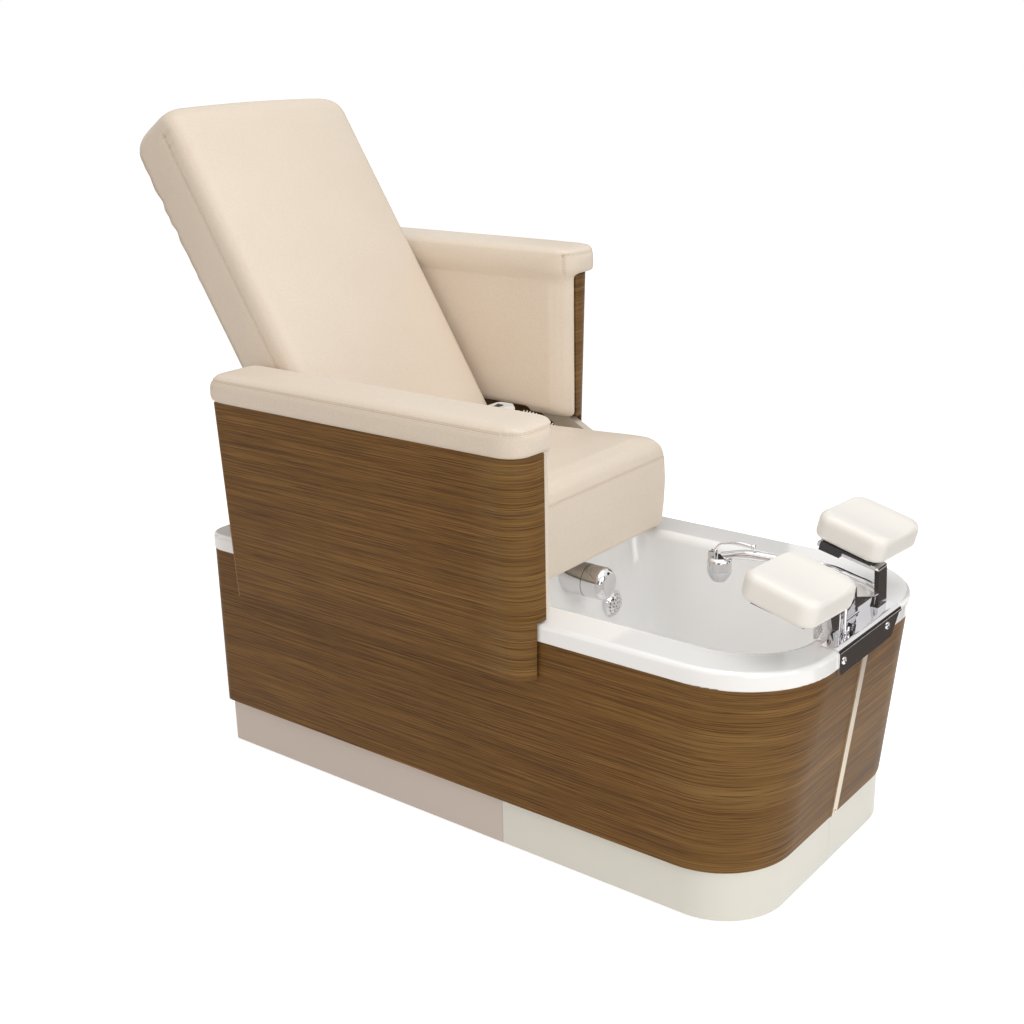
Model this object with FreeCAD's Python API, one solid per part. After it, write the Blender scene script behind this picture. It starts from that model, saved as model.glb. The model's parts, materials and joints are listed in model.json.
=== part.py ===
"""Pedicure spa chair: an upholstered, reclining salon seat over a moulded foot basin.

Millimetres. Origin on the floor at the centre of the plinth, +X forward to the basin and
footrests, +Y to the sitter's left, +Z up. Each node is written to parts/NODE.step.
"""
import FreeCAD
import Part
import math
import os

V = FreeCAD.Vector

# Driving dimensions: plinth and veneered skirt
PLINTH_HALF_WIDTH = 307.0
PLINTH_FRONT = 647.0
PLINTH_REAR = -647.0
PLINTH_FRONT_RADIUS = 129.0
PLINTH_REAR_RADIUS = 15.0
PLINTH_BOTTOM = 2.0
PLINTH_TOP = 101.0
PLINTH_WALL = 9.0
PLINTH_SEAM_X = 115.0
PANEL_GAP = 0.6
SKIRT_BOTTOM = 101.0
SKIRT_HALF_WIDTH = 318.0
SKIRT_WALL = 7.0
SKIRT_REAR = -655.0
SKIRT_REAR_RADIUS = 22.0
SKIRT_FRONT_LOW = 653.0
SKIRT_FRONT_HIGH = 698.0
SKIRT_FRONT_RADIUS_LOW = 148.0
SKIRT_FRONT_RADIUS_HIGH = 178.0
TRIM_WIDTH = 20.0
TRIM_THICKNESS = 2.5
TRIM_SCREW_Z = 109.0
SCREW_SHANK = 2.5
SCREW_HEAD = 6.5
SCREW_HEAD_HEIGHT = 3.6
SMALL_SCREW_SHANK = 1.5
SMALL_SCREW_HEAD = 3.5
GLAND_RADIUS = 11.0
GLAND_Y = 200.0
GLAND_Z = 80.0

# Tub: rim, deck and foot basin
RIM_BOTTOM = 453.0
RIM_TOP = 487.0
RIM_HALF_WIDTH = 320.0
RIM_FRONT = 703.0
RIM_REAR = -670.0
RIM_FRONT_RADIUS = 182.0
RIM_REAR_RADIUS = 45.0
RIM_WALL = 10.0
RIM_TOP_ROUND = 9.0
RIM_BOTTOM_ROUND = 3.0
DECK_THICKNESS = 12.0
BASIN_WALL = 6.0
BASIN_FLOOR = 200.0
BASIN_REAR_TOP = 45.0
BASIN_FRONT_TOP = 640.0
BASIN_HALF_WIDTH_TOP = 225.0
BASIN_REAR_LOW = 105.0
BASIN_FRONT_LOW = 598.0
BASIN_HALF_WIDTH_LOW = 188.0
BASIN_FRONT_RADIUS = 125.0
BASIN_REAR_RADIUS = 90.0
BASIN_FLOOR_ROUND = 35.0
BASIN_LIP_ROUND = 18.0
DECK_OPENING_REAR = -600.0
DECK_OPENING_FRONT = -40.0
DECK_OPENING_HALF_WIDTH = 215.0

# Frame inside the plinth
TUBE = 40.0
TUBE_WALL = 3.0
FOOT_RADIUS = 20.0
FOOT_PAD_HEIGHT = 8.0
FRAME_BOTTOM = 14.0
UPRIGHT_MIDDLE_X = -20.0
CROSS_REAR_X = -585.0
CROSS_FRONT_X = -110.0

# Water fittings
DRAIN_X = 345.0
DRAIN_HOLE_RADIUS = 24.0
DRAIN_FLANGE_RADIUS = 36.0
TRAP_PIPE_RADIUS = 20.0
TRAP_LOW = 78.0
TRAP_CREST = 134.0
TRAP_OUTLET_Z = 100.0
TRAP_REACH = 84.0
MIXER_Y = 2.0
MIXER_Z = 444.0
MIXER_RADIUS = 34.0
MIXER_REACH = 52.0
MIXER_KNOB_LENGTH = 48.0
MIXER_BODY_REAR = -6.0
SUPPLY_RADIUS = 6.5
SUPPLY_DROP = 114.0
SUPPLY_SAG = 30.0
JET_Y = 122.0
JET_Z = 348.0
JET_COVER_RADIUS = 29.0
JET_COVER_RISE = 15.0
JET_MOTOR_RADIUS = 44.0
JET_MOTOR_LENGTH = 110.0
JET_SHAFT_RADIUS = 5.0
SPOUT_BASE_X = 656.0
SPOUT_BASE_Y = 138.0
SPOUT_BASE_RADIUS = 9.0
SPOUT_PEG_RADIUS = 4.0
SPOUT_NECK_RADIUS = 6.5
SPOUT_RADIUS = 9.0
SPOUT_HEAD_X = 345.0
SPOUT_HEAD_Y = 98.0
SPOUT_TOP = 530.0
SPOUT_RING_TOP = 515.0
SPOUT_RING_BOTTOM = 490.0
SPOUT_RING_RADIUS = 24.0
SPOUT_SHADE_BOTTOM = 464.0
SPOUT_BEND = ((0.013, 30.0, SPOUT_NECK_RADIUS, 0.8), (0.13, 13.0, 7.5, 0.4), (0.26, 3.0, 8.5, 0.12),
              (0.47, 0.0, SPOUT_RADIUS, 0.0), (0.71, 1.0, SPOUT_RADIUS, 0.0),
              (0.87, 4.0, SPOUT_RADIUS, -0.2), (0.97, 11.0, SPOUT_RADIUS, -0.75))

# Footrests and the bracket over the front rim
BRACKET_SHEET = 2.5
BRACKET_RIGHT = -124.0
BRACKET_TOP_LEFT = 128.0
BRACKET_FLANGE_LEFT_HIGH = 118.0
BRACKET_FLANGE_LEFT_LOW = 88.0
BRACKET_BOTTOM = 441.0
BRACKET_CORNER = 12.0
BRACKET_SCREWS = ((-107.0, 465.0), (68.0, 468.5))
UPSTAND_FACE_X = 671.0
UPSTAND_RIGHT = -94.0
UPSTAND_LEFT = 85.0
UPSTAND_TOP = 537.0
UPSTAND_SLOPE_START_Y = 4.0
UPSTAND_LEFT_TOP = 511.0
CHEEK_Y = -103.0
CHEEK_SHEET = 3.0
CHEEK_REAR_X = 645.0
CHEEK_TOP = 535.0
CHEEK_HOLE_RADIUS = 1.5
CHEEK_HOLE_PITCH = 5.2
PULL_ROD_RADIUS = 3.2
PULL_ROD_Y = -60.0
PULL_ROD_TOP = 543.0
PULL_ROD_HOOK = 14.0
BRACE_WIDTH = 9.0
BRACE_FOOT_Y = -0.5
BRACE_HEAD_Y = -16.5
BRACE_TOP = 562.0
CROSS_BOLT_RADIUS = 2.5
CROSS_BOLT_Z = 512.0
BAR_THICKNESS = 8.0
BAR_WIDTH = 36.0
RIGHT_BAR_FOOT_Y = -76.0
RIGHT_BAR_HEAD_Y = -104.0
RIGHT_BAR_HEAD_X = 671.0
LEFT_BAR_FOOT_Y = 103.0
LEFT_BAR_HEAD_Y = 117.5
LEFT_BAR_HEAD_X = 661.0
LEG_REAR_X = 548.0
PAD_Y = 171.0
PAD_LENGTH = 145.0
PAD_WIDTH = 160.0
PAD_THICKNESS = 45.0
PAD_CORNER = 30.0
PAD_LOW_ROUND = 12.0
PAD_HIGH_ROUND = 15.0
PAD_DISH = 6.0
PAD_SADDLE_RADIUS = 225.0
PAD_TILT = 12.9
PAD_YAW = -4.0
PAD_TOP_Z = 623.0
RIGHT_PAD_X = 652.0
LEFT_PAD_X = 617.0
PAD_PLATE = 5.0
PAD_PLATE_INSET_X = 22.0
PAD_PLATE_INSET_Y = 18.0
PAD_GUIDE_REAR = -52.0
PAD_GUIDE_FRONT = -10.0
PAD_GUIDE_WALL = 5.0
PAD_GUIDE_LIP = 3.0

# Seat carriage
CARRIAGE_BOTTOM = 492.0
CARRIAGE_PLATE = 8.0
CARRIAGE_REAR = -640.0
CARRIAGE_FRONT = 100.0
CARRIAGE_HALF_WIDTH = 289.0
RAIL_Y = 190.0
RAIL_WIDTH = 22.0
RAIL_BOTTOM = 455.0
RAIL_HEIGHT = 16.0
RAIL_REAR = -600.0
RAIL_FRONT = -50.0
BLOCK_LENGTH = 80.0
ACTUATOR_RADIUS = 15.0
ACTUATOR_ROD_RADIUS = 8.0
ACTUATOR_REAR = -590.0
ACTUATOR_FRONT = -330.0
SEAT_FRAME_TUBE = 30.0
SEAT_FRAME_HEIGHT = 100.0
SEAT_FRAME_HALF_WIDTH = 230.0
SEAT_FRAME_FRONT = 100.0
SEAT_FRAME_REAR = -307.0
HINGE_PLATE_FOOT = 68.0
RECLINE_BAR_WIDTH = 24.0
RECLINE_BAR_HEIGHT = 16.0
SEAT_BOARD = 15.0
SEAT_FRONT = 134.0
SEAT_REAR = -313.0
SEAT_HALF_WIDTH = 247.0
SEAT_FRONT_HALF_WIDTH = 259.5
SEAT_FLARE_START = 0.66
SEAT_FLARE_END = 0.82
SEAT_TOP = 680.0
SEAT_TOP_TILT = 0.045
SEAT_EDGE_TOP = 648.0
SEAT_DRAW_IN = 5.0
SEAT_CROWN = ((7, 0.42), (20, 0.72), (50, 0.9), (105, 0.98), (165, 1.0))

# Backrest, measured along its own slope
HINGE_X = -395.5
HINGE_Z = 651.1
BACK_ANGLE = 32.4
BACK_THICKNESS = 160.0
BACK_LENGTH = 800.0
BACK_HALF_WIDTH = 253.0
BACK_CROWN = 14.0
BACK_NOTCH_HALF_WIDTH = 212.0
BACK_NOTCH_LENGTH = 24.0
BACK_NOTCH_FRONT = 46.0
BACK_NOTCH_LOW = -6.0
BACK_TOP_ROUND = 48.0
HINGE_PIN_RADIUS = 8.0
HINGE_PLATE = 10.0
CRANK_LENGTH = 110.0
CRANK_Y = 30.0
RECLINE_ROD_RADIUS = 9.0
RECLINE_TUBE_RADIUS = 20.0
RECLINE_TUBE_FRONT = -110.0

# Arms
ARM_REAR = -538.0
ARM_FRONT = 222.0
ARM_BOTTOM = 381.0
ARM_TOP = 802.0
ARM_OUTER_TOP = 376.0
ARM_OUTER_BOTTOM = 354.0
ARM_SHELL = 12.0
ARM_CORNER_RADIUS = 55.0
ARM_RETURN_TOP_Y = 301.0
ARM_RETURN_LOW_Y = 324.0
ARM_NOTCH = 491.0
ARM_PAD_INNER = 264.0
ARM_PAD_OUTER = 301.0
ARM_PAD_BOARD = 12.0
ARM_PAD_BEVEL = 45.0
ARM_PAD_BOTTOM = 506.0
ARM_PAD_NOSE_BOTTOM = 489.0
ARM_PAD_NOSE_X = 104.0
ARM_CAP_INNER = 257.0
ARM_CAP_OUTER = 388.0
ARM_CAP_REAR = -550.0
ARM_CAP_FRONT = 235.0
ARM_CAP_HEIGHT = 60.0
ARM_SLOPE = 27.78
ARM_TRAVEL = 405.8
GUIDE_START_X = 68.0
GUIDE_START_Z = 536.6
GUIDE_LENGTH = 513.0
GUIDE_HEIGHT = 36.0
GUIDE_WALL = 4.0
GUIDE_INNER_Y = 302.5
GUIDE_OUTER_Y = 322.0
GUIDE_FOOT_REAR = -200.0
SLIDER_LENGTH = 100.0

# Handset and its curly cord
HANDSET_X = -284.0
HANDSET_Y = 188.0
HANDSET_BOTTOM = 679.5
HANDSET_LENGTH = 118.0
HANDSET_WIDTH = 50.0
HANDSET_HEIGHT = 24.0
ROCKER_LENGTH = 26.0
ROCKER_WIDTH = 16.0
ROCKER_TILT_ROOM = 0.6
CORD_RADIUS = 6.0
CORD_Y = 255.5
CORD_POINTS = ((-258.7, 236, 691), (-230, 236, 691), (-203, 249, 684), (-170, CORD_Y, 667),
               (-130, CORD_Y, 638), (-92, CORD_Y, 604), (-58, CORD_Y, 572), (-34, CORD_Y, 542),
               (-34, CORD_Y, 512))
GLAND_TUBE_RADIUS = 8.0

# Clearances
RUNNING = 0.05
SEAT_GAP = 0.3
ROOM = 0.5

ARM_FLARE = (ARM_OUTER_TOP - ARM_OUTER_BOTTOM) / (ARM_TOP - ARM_BOTTOM)
CARRIAGE_TOP = CARRIAGE_BOTTOM + CARRIAGE_PLATE
DECK_UNDERSIDE = RIM_TOP - DECK_THICKNESS
FRAME_HALF_WIDTH = PLINTH_HALF_WIDTH - PLINTH_WALL
FRAME_REAR = PLINTH_REAR + PLINTH_WALL
FRAME_FRONT = PLINTH_FRONT - PLINTH_WALL
ACTUATOR_Z = RAIL_BOTTOM + ACTUATOR_RADIUS + SEAT_GAP
RECLINE_Z = HINGE_Z - CRANK_LENGTH
LEVER_PIVOT_X = SPOUT_HEAD_X - 15
LEVER_PIVOT_Z = SPOUT_RING_TOP + 5
ROCKER_YS = (HANDSET_Y - 24.0, HANDSET_Y + 18.0)
ROCKER_PIVOT_Z = HANDSET_BOTTOM + HANDSET_HEIGHT - 4.0


# Basic solids

def box(x0, x1, y0, y1, z0, z1):
    return Part.makeBox(x1 - x0, y1 - y0, z1 - z0, V(x0, y0, z0))


def rod(radius, start, end):
    along = end.sub(start)
    return Part.makeCylinder(radius, along.Length, start, along)


def fuse(shapes):
    whole = shapes[0]
    for shape in shapes[1:]:
        whole = whole.fuse(shape)
    return whole.removeSplitter()


def cut(shape, tools):
    for tool in tools:
        shape = shape.cut(tool)
    return shape


def mirrored(shape):
    return shape.mirror(V(0, 0, 0), V(0, 1, 0))


def shifted(shape, x, y, z):
    moved = shape.copy()
    moved.translate(V(x, y, z))
    return moved


def outline(corners, place):
    """Closed wire through corners (a, b, radius); place(a, b) gives the point in space."""
    stations = []
    for i, (bx, by, radius) in enumerate(corners):
        ax, ay = corners[i - 1][:2]
        cx, cy = corners[(i + 1) % len(corners)][:2]
        back = FreeCAD.Vector(ax - bx, ay - by, 0).normalize()
        ahead = FreeCAD.Vector(cx - bx, cy - by, 0).normalize()
        corner = FreeCAD.Vector(bx, by, 0)
        if radius == 0:
            stations.append((corner, None, corner))
            continue
        half = back.getAngle(ahead) / 2
        reach = radius / math.tan(half)
        middle = (back + ahead).normalize() * (radius / math.sin(half) - radius)
        stations.append((corner + back * reach, corner + middle, corner + ahead * reach))
    edges = []
    for i, (start, middle, end) in enumerate(stations):
        if middle is not None:
            arc = Part.Arc(place(start.x, start.y), place(middle.x, middle.y), place(end.x, end.y))
            edges.append(arc.toShape())
        following = stations[(i + 1) % len(stations)][0]
        if end.distanceToPoint(following) > 0.001:
            edges.append(Part.makeLine(place(end.x, end.y), place(following.x, following.y)))
    return Part.Wire(edges)


def plan(x0, x1, half_width, rear_radius, front_radius, z):
    """Rounded rectangle in plan, x0 at the rear."""
    corners = [(x0, -half_width, rear_radius), (x1, -half_width, front_radius),
               (x1, half_width, front_radius), (x0, half_width, rear_radius)]
    return outline(corners, lambda a, b: V(a, b, z))


def slab(corners, z0, z1):
    face = Part.Face(outline(corners, lambda a, b: V(a, b, z0)))
    return face.extrude(V(0, 0, z1 - z0))


def side_slab(corners, y0, y1):
    """Solid with its outline in the XZ plane, from y0 to y1."""
    face = Part.Face(outline(corners, lambda a, b: V(a, y0, b)))
    return face.extrude(V(0, y1 - y0, 0))


def loft(wires, ruled=True):
    return Part.makeLoft(wires, True, ruled)


def edges_at(shape, test):
    """Edges whose vertices and middle all pass the test."""
    chosen = []
    for edge in shape.Edges:
        middle = edge.valueAt((edge.FirstParameter + edge.LastParameter) / 2)
        points = [middle] + [vertex.Point for vertex in edge.Vertexes]
        if all(test(point) for point in points):
            chosen.append(edge)
    return chosen


def quarter_steps(count):
    """Sine and cosine of evenly spaced angles from 0 to 90 degrees."""
    angles = [math.pi / 2 * i / count for i in range(count + 1)]
    return [(math.sin(angle), math.cos(angle)) for angle in angles]


def bar_between(stations):
    """Ruled loft through rectangles (x0, x1, y0, y1, z)."""
    wires = []
    for x0, x1, y0, y1, z in stations:
        points = [V(x0, y0, z), V(x1, y0, z), V(x1, y1, z), V(x0, y1, z), V(x0, y0, z)]
        wires.append(Part.makePolygon(points))
    return loft(wires)


def tube_path(points, bend_factor=0.45):
    """Straight runs joined by tangent arcs; returns the wire and the arc radii."""
    stations = [(points[0], None, points[0])]
    radii = []
    for i in range(1, len(points) - 1):
        back = points[i - 1].sub(points[i])
        ahead = points[i + 1].sub(points[i])
        shorter = min(back.Length, ahead.Length)
        half_turn = (math.pi - back.getAngle(ahead)) / 2
        reach = bend_factor * shorter
        radius = reach / math.tan(half_turn)
        radii.append(radius)
        back.normalize()
        ahead.normalize()
        inward = (back + ahead).normalize() * (radius / math.cos(half_turn) - radius)
        stations.append((points[i] + back * reach, points[i] + inward, points[i] + ahead * reach))
    stations.append((points[-1], None, points[-1]))
    edges = []
    for i, (start, middle, end) in enumerate(stations):
        if middle is not None:
            edges.append(Part.Arc(start, middle, end).toShape())
        if i + 1 < len(stations):
            edges.append(Part.makeLine(end, stations[i + 1][0]))
    return Part.Wire(edges), radii


def tube(points, radius, bend_factor=0.45):
    path, radii = tube_path(points, bend_factor)
    start = points[1].sub(points[0])
    circle = Part.Wire(Part.makeCircle(radius, points[0], start))
    return path.makePipeShell([circle], True, False), radii


# Plinth

def plinth_panels():
    def ring_wire(inset, rear_radius):
        return plan(PLINTH_REAR + inset, PLINTH_FRONT - inset, PLINTH_HALF_WIDTH - inset,
                    rear_radius, PLINTH_FRONT_RADIUS - inset, PLINTH_BOTTOM)

    height = V(0, 0, PLINTH_TOP - PLINTH_BOTTOM)
    outer = Part.Face(ring_wire(0, PLINTH_REAR_RADIUS)).extrude(height)
    inner = Part.Face(ring_wire(PLINTH_WALL, 0)).extrude(height)
    ring = outer.cut(inner)
    far = 1000.0
    half_gap = PANEL_GAP / 2
    rear = ring.common(box(-far, PLINTH_SEAM_X - half_gap, -far, far, 0, far))
    right = ring.common(box(PLINTH_SEAM_X + half_gap, far, -far, -half_gap, 0, far))
    gland_hole = rod(GLAND_RADIUS + RUNNING, V(PLINTH_REAR - 5, GLAND_Y, GLAND_Z),
                     V(PLINTH_REAR + 20, GLAND_Y, GLAND_Z))
    return rear.cut(gland_hole), right, mirrored(right)


# Veneered skirt and its front trim

def skirt_wire(inset, low, z):
    front = SKIRT_FRONT_LOW if low else SKIRT_FRONT_HIGH
    radius = SKIRT_FRONT_RADIUS_LOW if low else SKIRT_FRONT_RADIUS_HIGH
    return plan(SKIRT_REAR + inset, front - inset, SKIRT_HALF_WIDTH - inset,
                SKIRT_REAR_RADIUS - inset, radius - inset, z)


def skirt_shells():
    outer = loft([skirt_wire(0, True, SKIRT_BOTTOM), skirt_wire(0, False, RIM_BOTTOM)])
    inner = loft([skirt_wire(SKIRT_WALL, True, SKIRT_BOTTOM),
                  skirt_wire(SKIRT_WALL, False, RIM_BOTTOM)])
    far = 1000.0
    right = outer.cut(inner).common(box(-far, far, -far, -PANEL_GAP / 2, 0, far))
    return right, mirrored(right)


def skirt_front_x(z):
    share = (z - SKIRT_BOTTOM) / (RIM_BOTTOM - SKIRT_BOTTOM)
    return SKIRT_FRONT_LOW + (SKIRT_FRONT_HIGH - SKIRT_FRONT_LOW) * share


def front_trim():
    top = RIM_BOTTOM - 3
    corners = [(skirt_front_x(SKIRT_BOTTOM), SKIRT_BOTTOM, 0),
               (skirt_front_x(SKIRT_BOTTOM) + TRIM_THICKNESS, SKIRT_BOTTOM, 0),
               (skirt_front_x(top) + TRIM_THICKNESS, top, 0),
               (skirt_front_x(top), top, 0)]
    strip = side_slab(corners, -TRIM_WIDTH / 2, TRIM_WIDTH / 2)
    x = skirt_front_x(TRIM_SCREW_Z)
    hole = rod(SMALL_SCREW_SHANK + RUNNING, V(x - 5, 0, TRIM_SCREW_Z), V(x + 20, 0, TRIM_SCREW_Z))
    return strip.cut(hole)


# Tub

def basin_wire(grow, share, z):
    """Basin outline; share 0 at the floor and 1 at the rim, grow moves it outward."""
    rear = BASIN_REAR_LOW + (BASIN_REAR_TOP - BASIN_REAR_LOW) * share
    front = BASIN_FRONT_LOW + (BASIN_FRONT_TOP - BASIN_FRONT_LOW) * share
    half = BASIN_HALF_WIDTH_LOW + (BASIN_HALF_WIDTH_TOP - BASIN_HALF_WIDTH_LOW) * share
    return plan(rear - grow, front + grow, half + grow,
                BASIN_REAR_RADIUS + grow, BASIN_FRONT_RADIUS + grow, z)


def basin_solid(grow, top):
    """The hollow of the basin, or its outside when grow is the wall."""
    bottom = BASIN_FLOOR - grow
    share = (top - BASIN_FLOOR) / (RIM_TOP - BASIN_FLOOR)
    body = loft([basin_wire(grow, 0, bottom), basin_wire(grow, share, top)])
    floor_edges = edges_at(body, lambda p: abs(p.z - bottom) < 0.01)
    return body.makeFillet(BASIN_FLOOR_ROUND + grow, floor_edges)


def basin_rear_x(z):
    share = (z - BASIN_FLOOR) / (RIM_TOP - BASIN_FLOOR)
    return BASIN_REAR_LOW + (BASIN_REAR_TOP - BASIN_REAR_LOW) * share


def tub():
    rim = plan(RIM_REAR, RIM_FRONT, RIM_HALF_WIDTH, RIM_REAR_RADIUS, RIM_FRONT_RADIUS, RIM_BOTTOM)
    band = Part.Face(rim).extrude(V(0, 0, RIM_TOP - RIM_BOTTOM))
    band = band.makeFillet(RIM_TOP_ROUND, edges_at(band, lambda p: abs(p.z - RIM_TOP) < 0.01))
    band = band.makeFillet(RIM_BOTTOM_ROUND,
                           edges_at(band, lambda p: abs(p.z - RIM_BOTTOM) < 0.01))
    pocket_wire = plan(RIM_REAR + RIM_WALL, RIM_FRONT - RIM_WALL, RIM_HALF_WIDTH - RIM_WALL,
                       RIM_REAR_RADIUS - RIM_WALL, RIM_FRONT_RADIUS - RIM_WALL, RIM_BOTTOM)
    pocket = Part.Face(pocket_wire).extrude(V(0, 0, DECK_UNDERSIDE - RIM_BOTTOM))
    shell = band.cut(pocket).fuse(basin_solid(BASIN_WALL, DECK_UNDERSIDE + 1))
    shell = shell.cut(basin_solid(0, RIM_TOP))
    middle = (BASIN_REAR_TOP + BASIN_FRONT_TOP) / 2
    reach = (BASIN_FRONT_TOP - BASIN_REAR_TOP) / 2 + 1

    def on_lip(p):
        inside = abs(p.x - middle) < reach and abs(p.y) < BASIN_HALF_WIDTH_TOP + 1
        return inside and abs(p.z - RIM_TOP) < 0.01

    shell = shell.makeFillet(BASIN_LIP_ROUND, edges_at(shell, on_lip))
    holes = [box(DECK_OPENING_REAR, DECK_OPENING_FRONT, -DECK_OPENING_HALF_WIDTH,
                 DECK_OPENING_HALF_WIDTH, DECK_UNDERSIDE - 1, RIM_TOP + 1),
             rod(DRAIN_HOLE_RADIUS, V(DRAIN_X, 0, BASIN_FLOOR - 20), V(DRAIN_X, 0, BASIN_FLOOR + 5)),
             rod(MIXER_RADIUS * 0.6, V(0, MIXER_Y, MIXER_Z), V(90, MIXER_Y, MIXER_Z)),
             rod(JET_SHAFT_RADIUS + 4, V(20, JET_Y, JET_Z), V(110, JET_Y, JET_Z)),
             rod(SPOUT_PEG_RADIUS + ROOM, V(SPOUT_BASE_X, SPOUT_BASE_Y, RIM_TOP - 40),
                 V(SPOUT_BASE_X, SPOUT_BASE_Y, RIM_TOP + 5))]
    for y, z in BRACKET_SCREWS:
        holes.append(rod(SCREW_SHANK + RUNNING, V(RIM_FRONT - 30, y, z), V(RIM_FRONT + 10, y, z)))
    return cut(shell, holes)


# Frame inside the base

def square_tube(x0, x1, y0, y1, z0, z1, axis):
    """Square steel tube, open along its axis."""
    wall = TUBE_WALL
    inner = {"x": (0, wall, wall), "y": (wall, 0, wall), "z": (wall, wall, 0)}[axis]
    outer = box(x0, x1, y0, y1, z0, z1)
    return outer, box(x0 + inner[0], x1 - inner[0], y0 + inner[1], y1 - inner[1],
                      z0 + inner[2], z1 - inner[2])


def base_frame():
    side = FRAME_HALF_WIDTH
    low, high = FRAME_BOTTOM, FRAME_BOTTOM + TUBE
    side_front = FRAME_FRONT - PLINTH_FRONT_RADIUS + PLINTH_WALL
    front_half = side - PLINTH_FRONT_RADIUS
    rail_top = DECK_UNDERSIDE
    members = []
    for y0, y1 in ((-side, -side + TUBE), (side - TUBE, side)):
        members.append(square_tube(FRAME_REAR, side_front, y0, y1, low, high, "x"))
        members.append(square_tube(FRAME_REAR, side_front, y0, y1, rail_top - TUBE, rail_top, "x"))
        for x in (FRAME_REAR, UPRIGHT_MIDDLE_X, side_front - TUBE):
            members.append(square_tube(x, x + TUBE, y0, y1, high, rail_top - TUBE, "z"))
    for x in (FRAME_REAR, UPRIGHT_MIDDLE_X, side_front - TUBE):
        members.append(square_tube(x, x + TUBE, TUBE - side, side - TUBE, low, high, "y"))
    for x in (CROSS_REAR_X, CROSS_FRONT_X):
        members.append(square_tube(x, x + TUBE, TUBE - side, side - TUBE,
                                   RAIL_BOTTOM - TUBE, RAIL_BOTTOM, "y"))
    members.append(square_tube(FRAME_FRONT - TUBE, FRAME_FRONT, -front_half, front_half,
                               low, high, "y"))
    for y0 in (-front_half, front_half - TUBE):
        members.append(square_tube(side_front, FRAME_FRONT - TUBE, y0, y0 + TUBE, low, high, "x"))
    frame = fuse([outer for outer, _ in members])
    return cut(frame, [inner for _, inner in members])


def levelling_feet():
    side = FRAME_HALF_WIDTH - TUBE / 2
    side_front = FRAME_FRONT - PLINTH_FRONT_RADIUS + PLINTH_WALL - TUBE / 2
    places = [(x, y) for x in (FRAME_REAR + TUBE / 2, UPRIGHT_MIDDLE_X + TUBE / 2, side_front)
              for y in (-side, side)]
    places.append((UPRIGHT_MIDDLE_X + TUBE / 2, 0))
    feet = []
    for x, y in places:
        pad = Part.makeCone(FOOT_RADIUS, FOOT_RADIUS * 0.7, FOOT_PAD_HEIGHT, V(x, y, 0))
        stem = rod(6, V(x, y, FOOT_PAD_HEIGHT), V(x, y, FRAME_BOTTOM))
        feet.append(pad.fuse(stem))
    return Part.makeCompound(feet)


# Screws

def slotted_screw(x, y, z, shank, head, height, length):
    """Round slotted head facing +X, seated at x."""
    dome = Part.makeSphere(head * 1.5, V(x + height - head * 1.5, y, z))
    cap = rod(head, V(x, y, z), V(x + height, y, z)).common(dome)
    slot = box(x + height * 0.45, x + height + 1, y - head * 0.12, y + head * 0.12,
               z - head - 1, z + head + 1)
    return cap.cut(slot).fuse(rod(shank, V(x - length, y, z), V(x, y, z)))


def front_screws():
    seat_x = RIM_FRONT + SEAT_GAP + BRACKET_SHEET
    screws = [slotted_screw(seat_x, y, z, SCREW_SHANK, SCREW_HEAD, SCREW_HEAD_HEIGHT, 14)
              for y, z in BRACKET_SCREWS]
    trim_x = skirt_front_x(TRIM_SCREW_Z + SMALL_SCREW_HEAD) + TRIM_THICKNESS + 0.2
    screws.append(slotted_screw(trim_x, 0, TRIM_SCREW_Z, SMALL_SCREW_SHANK, SMALL_SCREW_HEAD,
                                1.8, TRIM_THICKNESS))
    return Part.makeCompound(screws)


# Drain, trap and supply pipes

def drain_waste():
    flange = rod(DRAIN_FLANGE_RADIUS, V(DRAIN_X, 0, BASIN_FLOOR), V(DRAIN_X, 0, BASIN_FLOOR + 3))
    body = rod(DRAIN_HOLE_RADIUS - ROOM, V(DRAIN_X, 0, 150), V(DRAIN_X, 0, BASIN_FLOOR))
    bore = rod(DRAIN_HOLE_RADIUS - 5, V(DRAIN_X, 0, 149), V(DRAIN_X, 0, BASIN_FLOOR + 4))
    nut_low = BASIN_FLOOR - BASIN_WALL - 12
    nut = rod(DRAIN_FLANGE_RADIUS - 2, V(DRAIN_X, 0, nut_low), V(DRAIN_X, 0, BASIN_FLOOR - BASIN_WALL))
    spider = [box(DRAIN_X - 20, DRAIN_X + 20, -2, 2, BASIN_FLOOR - 22, BASIN_FLOOR - 16)]
    guide = rod(6, V(DRAIN_X, 0, BASIN_FLOOR - 26), V(DRAIN_X, 0, BASIN_FLOOR - 12))
    ring = fuse([flange, body, nut]).cut(bore)
    hub = fuse(spider + [guide]).cut(rod(3 + RUNNING, V(DRAIN_X, 0, 160), V(DRAIN_X, 0, 200)))
    return ring.fuse(hub)


def drain_plug():
    bottom = BASIN_FLOOR + 3 - 2.5
    cap = Part.makeCone(DRAIN_HOLE_RADIUS - 7, DRAIN_HOLE_RADIUS - 5.5, 2.5, V(DRAIN_X, 0, bottom))
    crown = rod(DRAIN_HOLE_RADIUS, V(DRAIN_X, 0, bottom + 2.5 + SEAT_GAP),
                V(DRAIN_X, 0, bottom + 5 + SEAT_GAP))
    neck = rod(DRAIN_HOLE_RADIUS - 8, V(DRAIN_X, 0, bottom + 2), V(DRAIN_X, 0, bottom + 3.5))
    stem = rod(3, V(DRAIN_X, 0, BASIN_FLOOR - 30), V(DRAIN_X, 0, bottom))
    return fuse([cap, neck, crown, stem])


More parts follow.
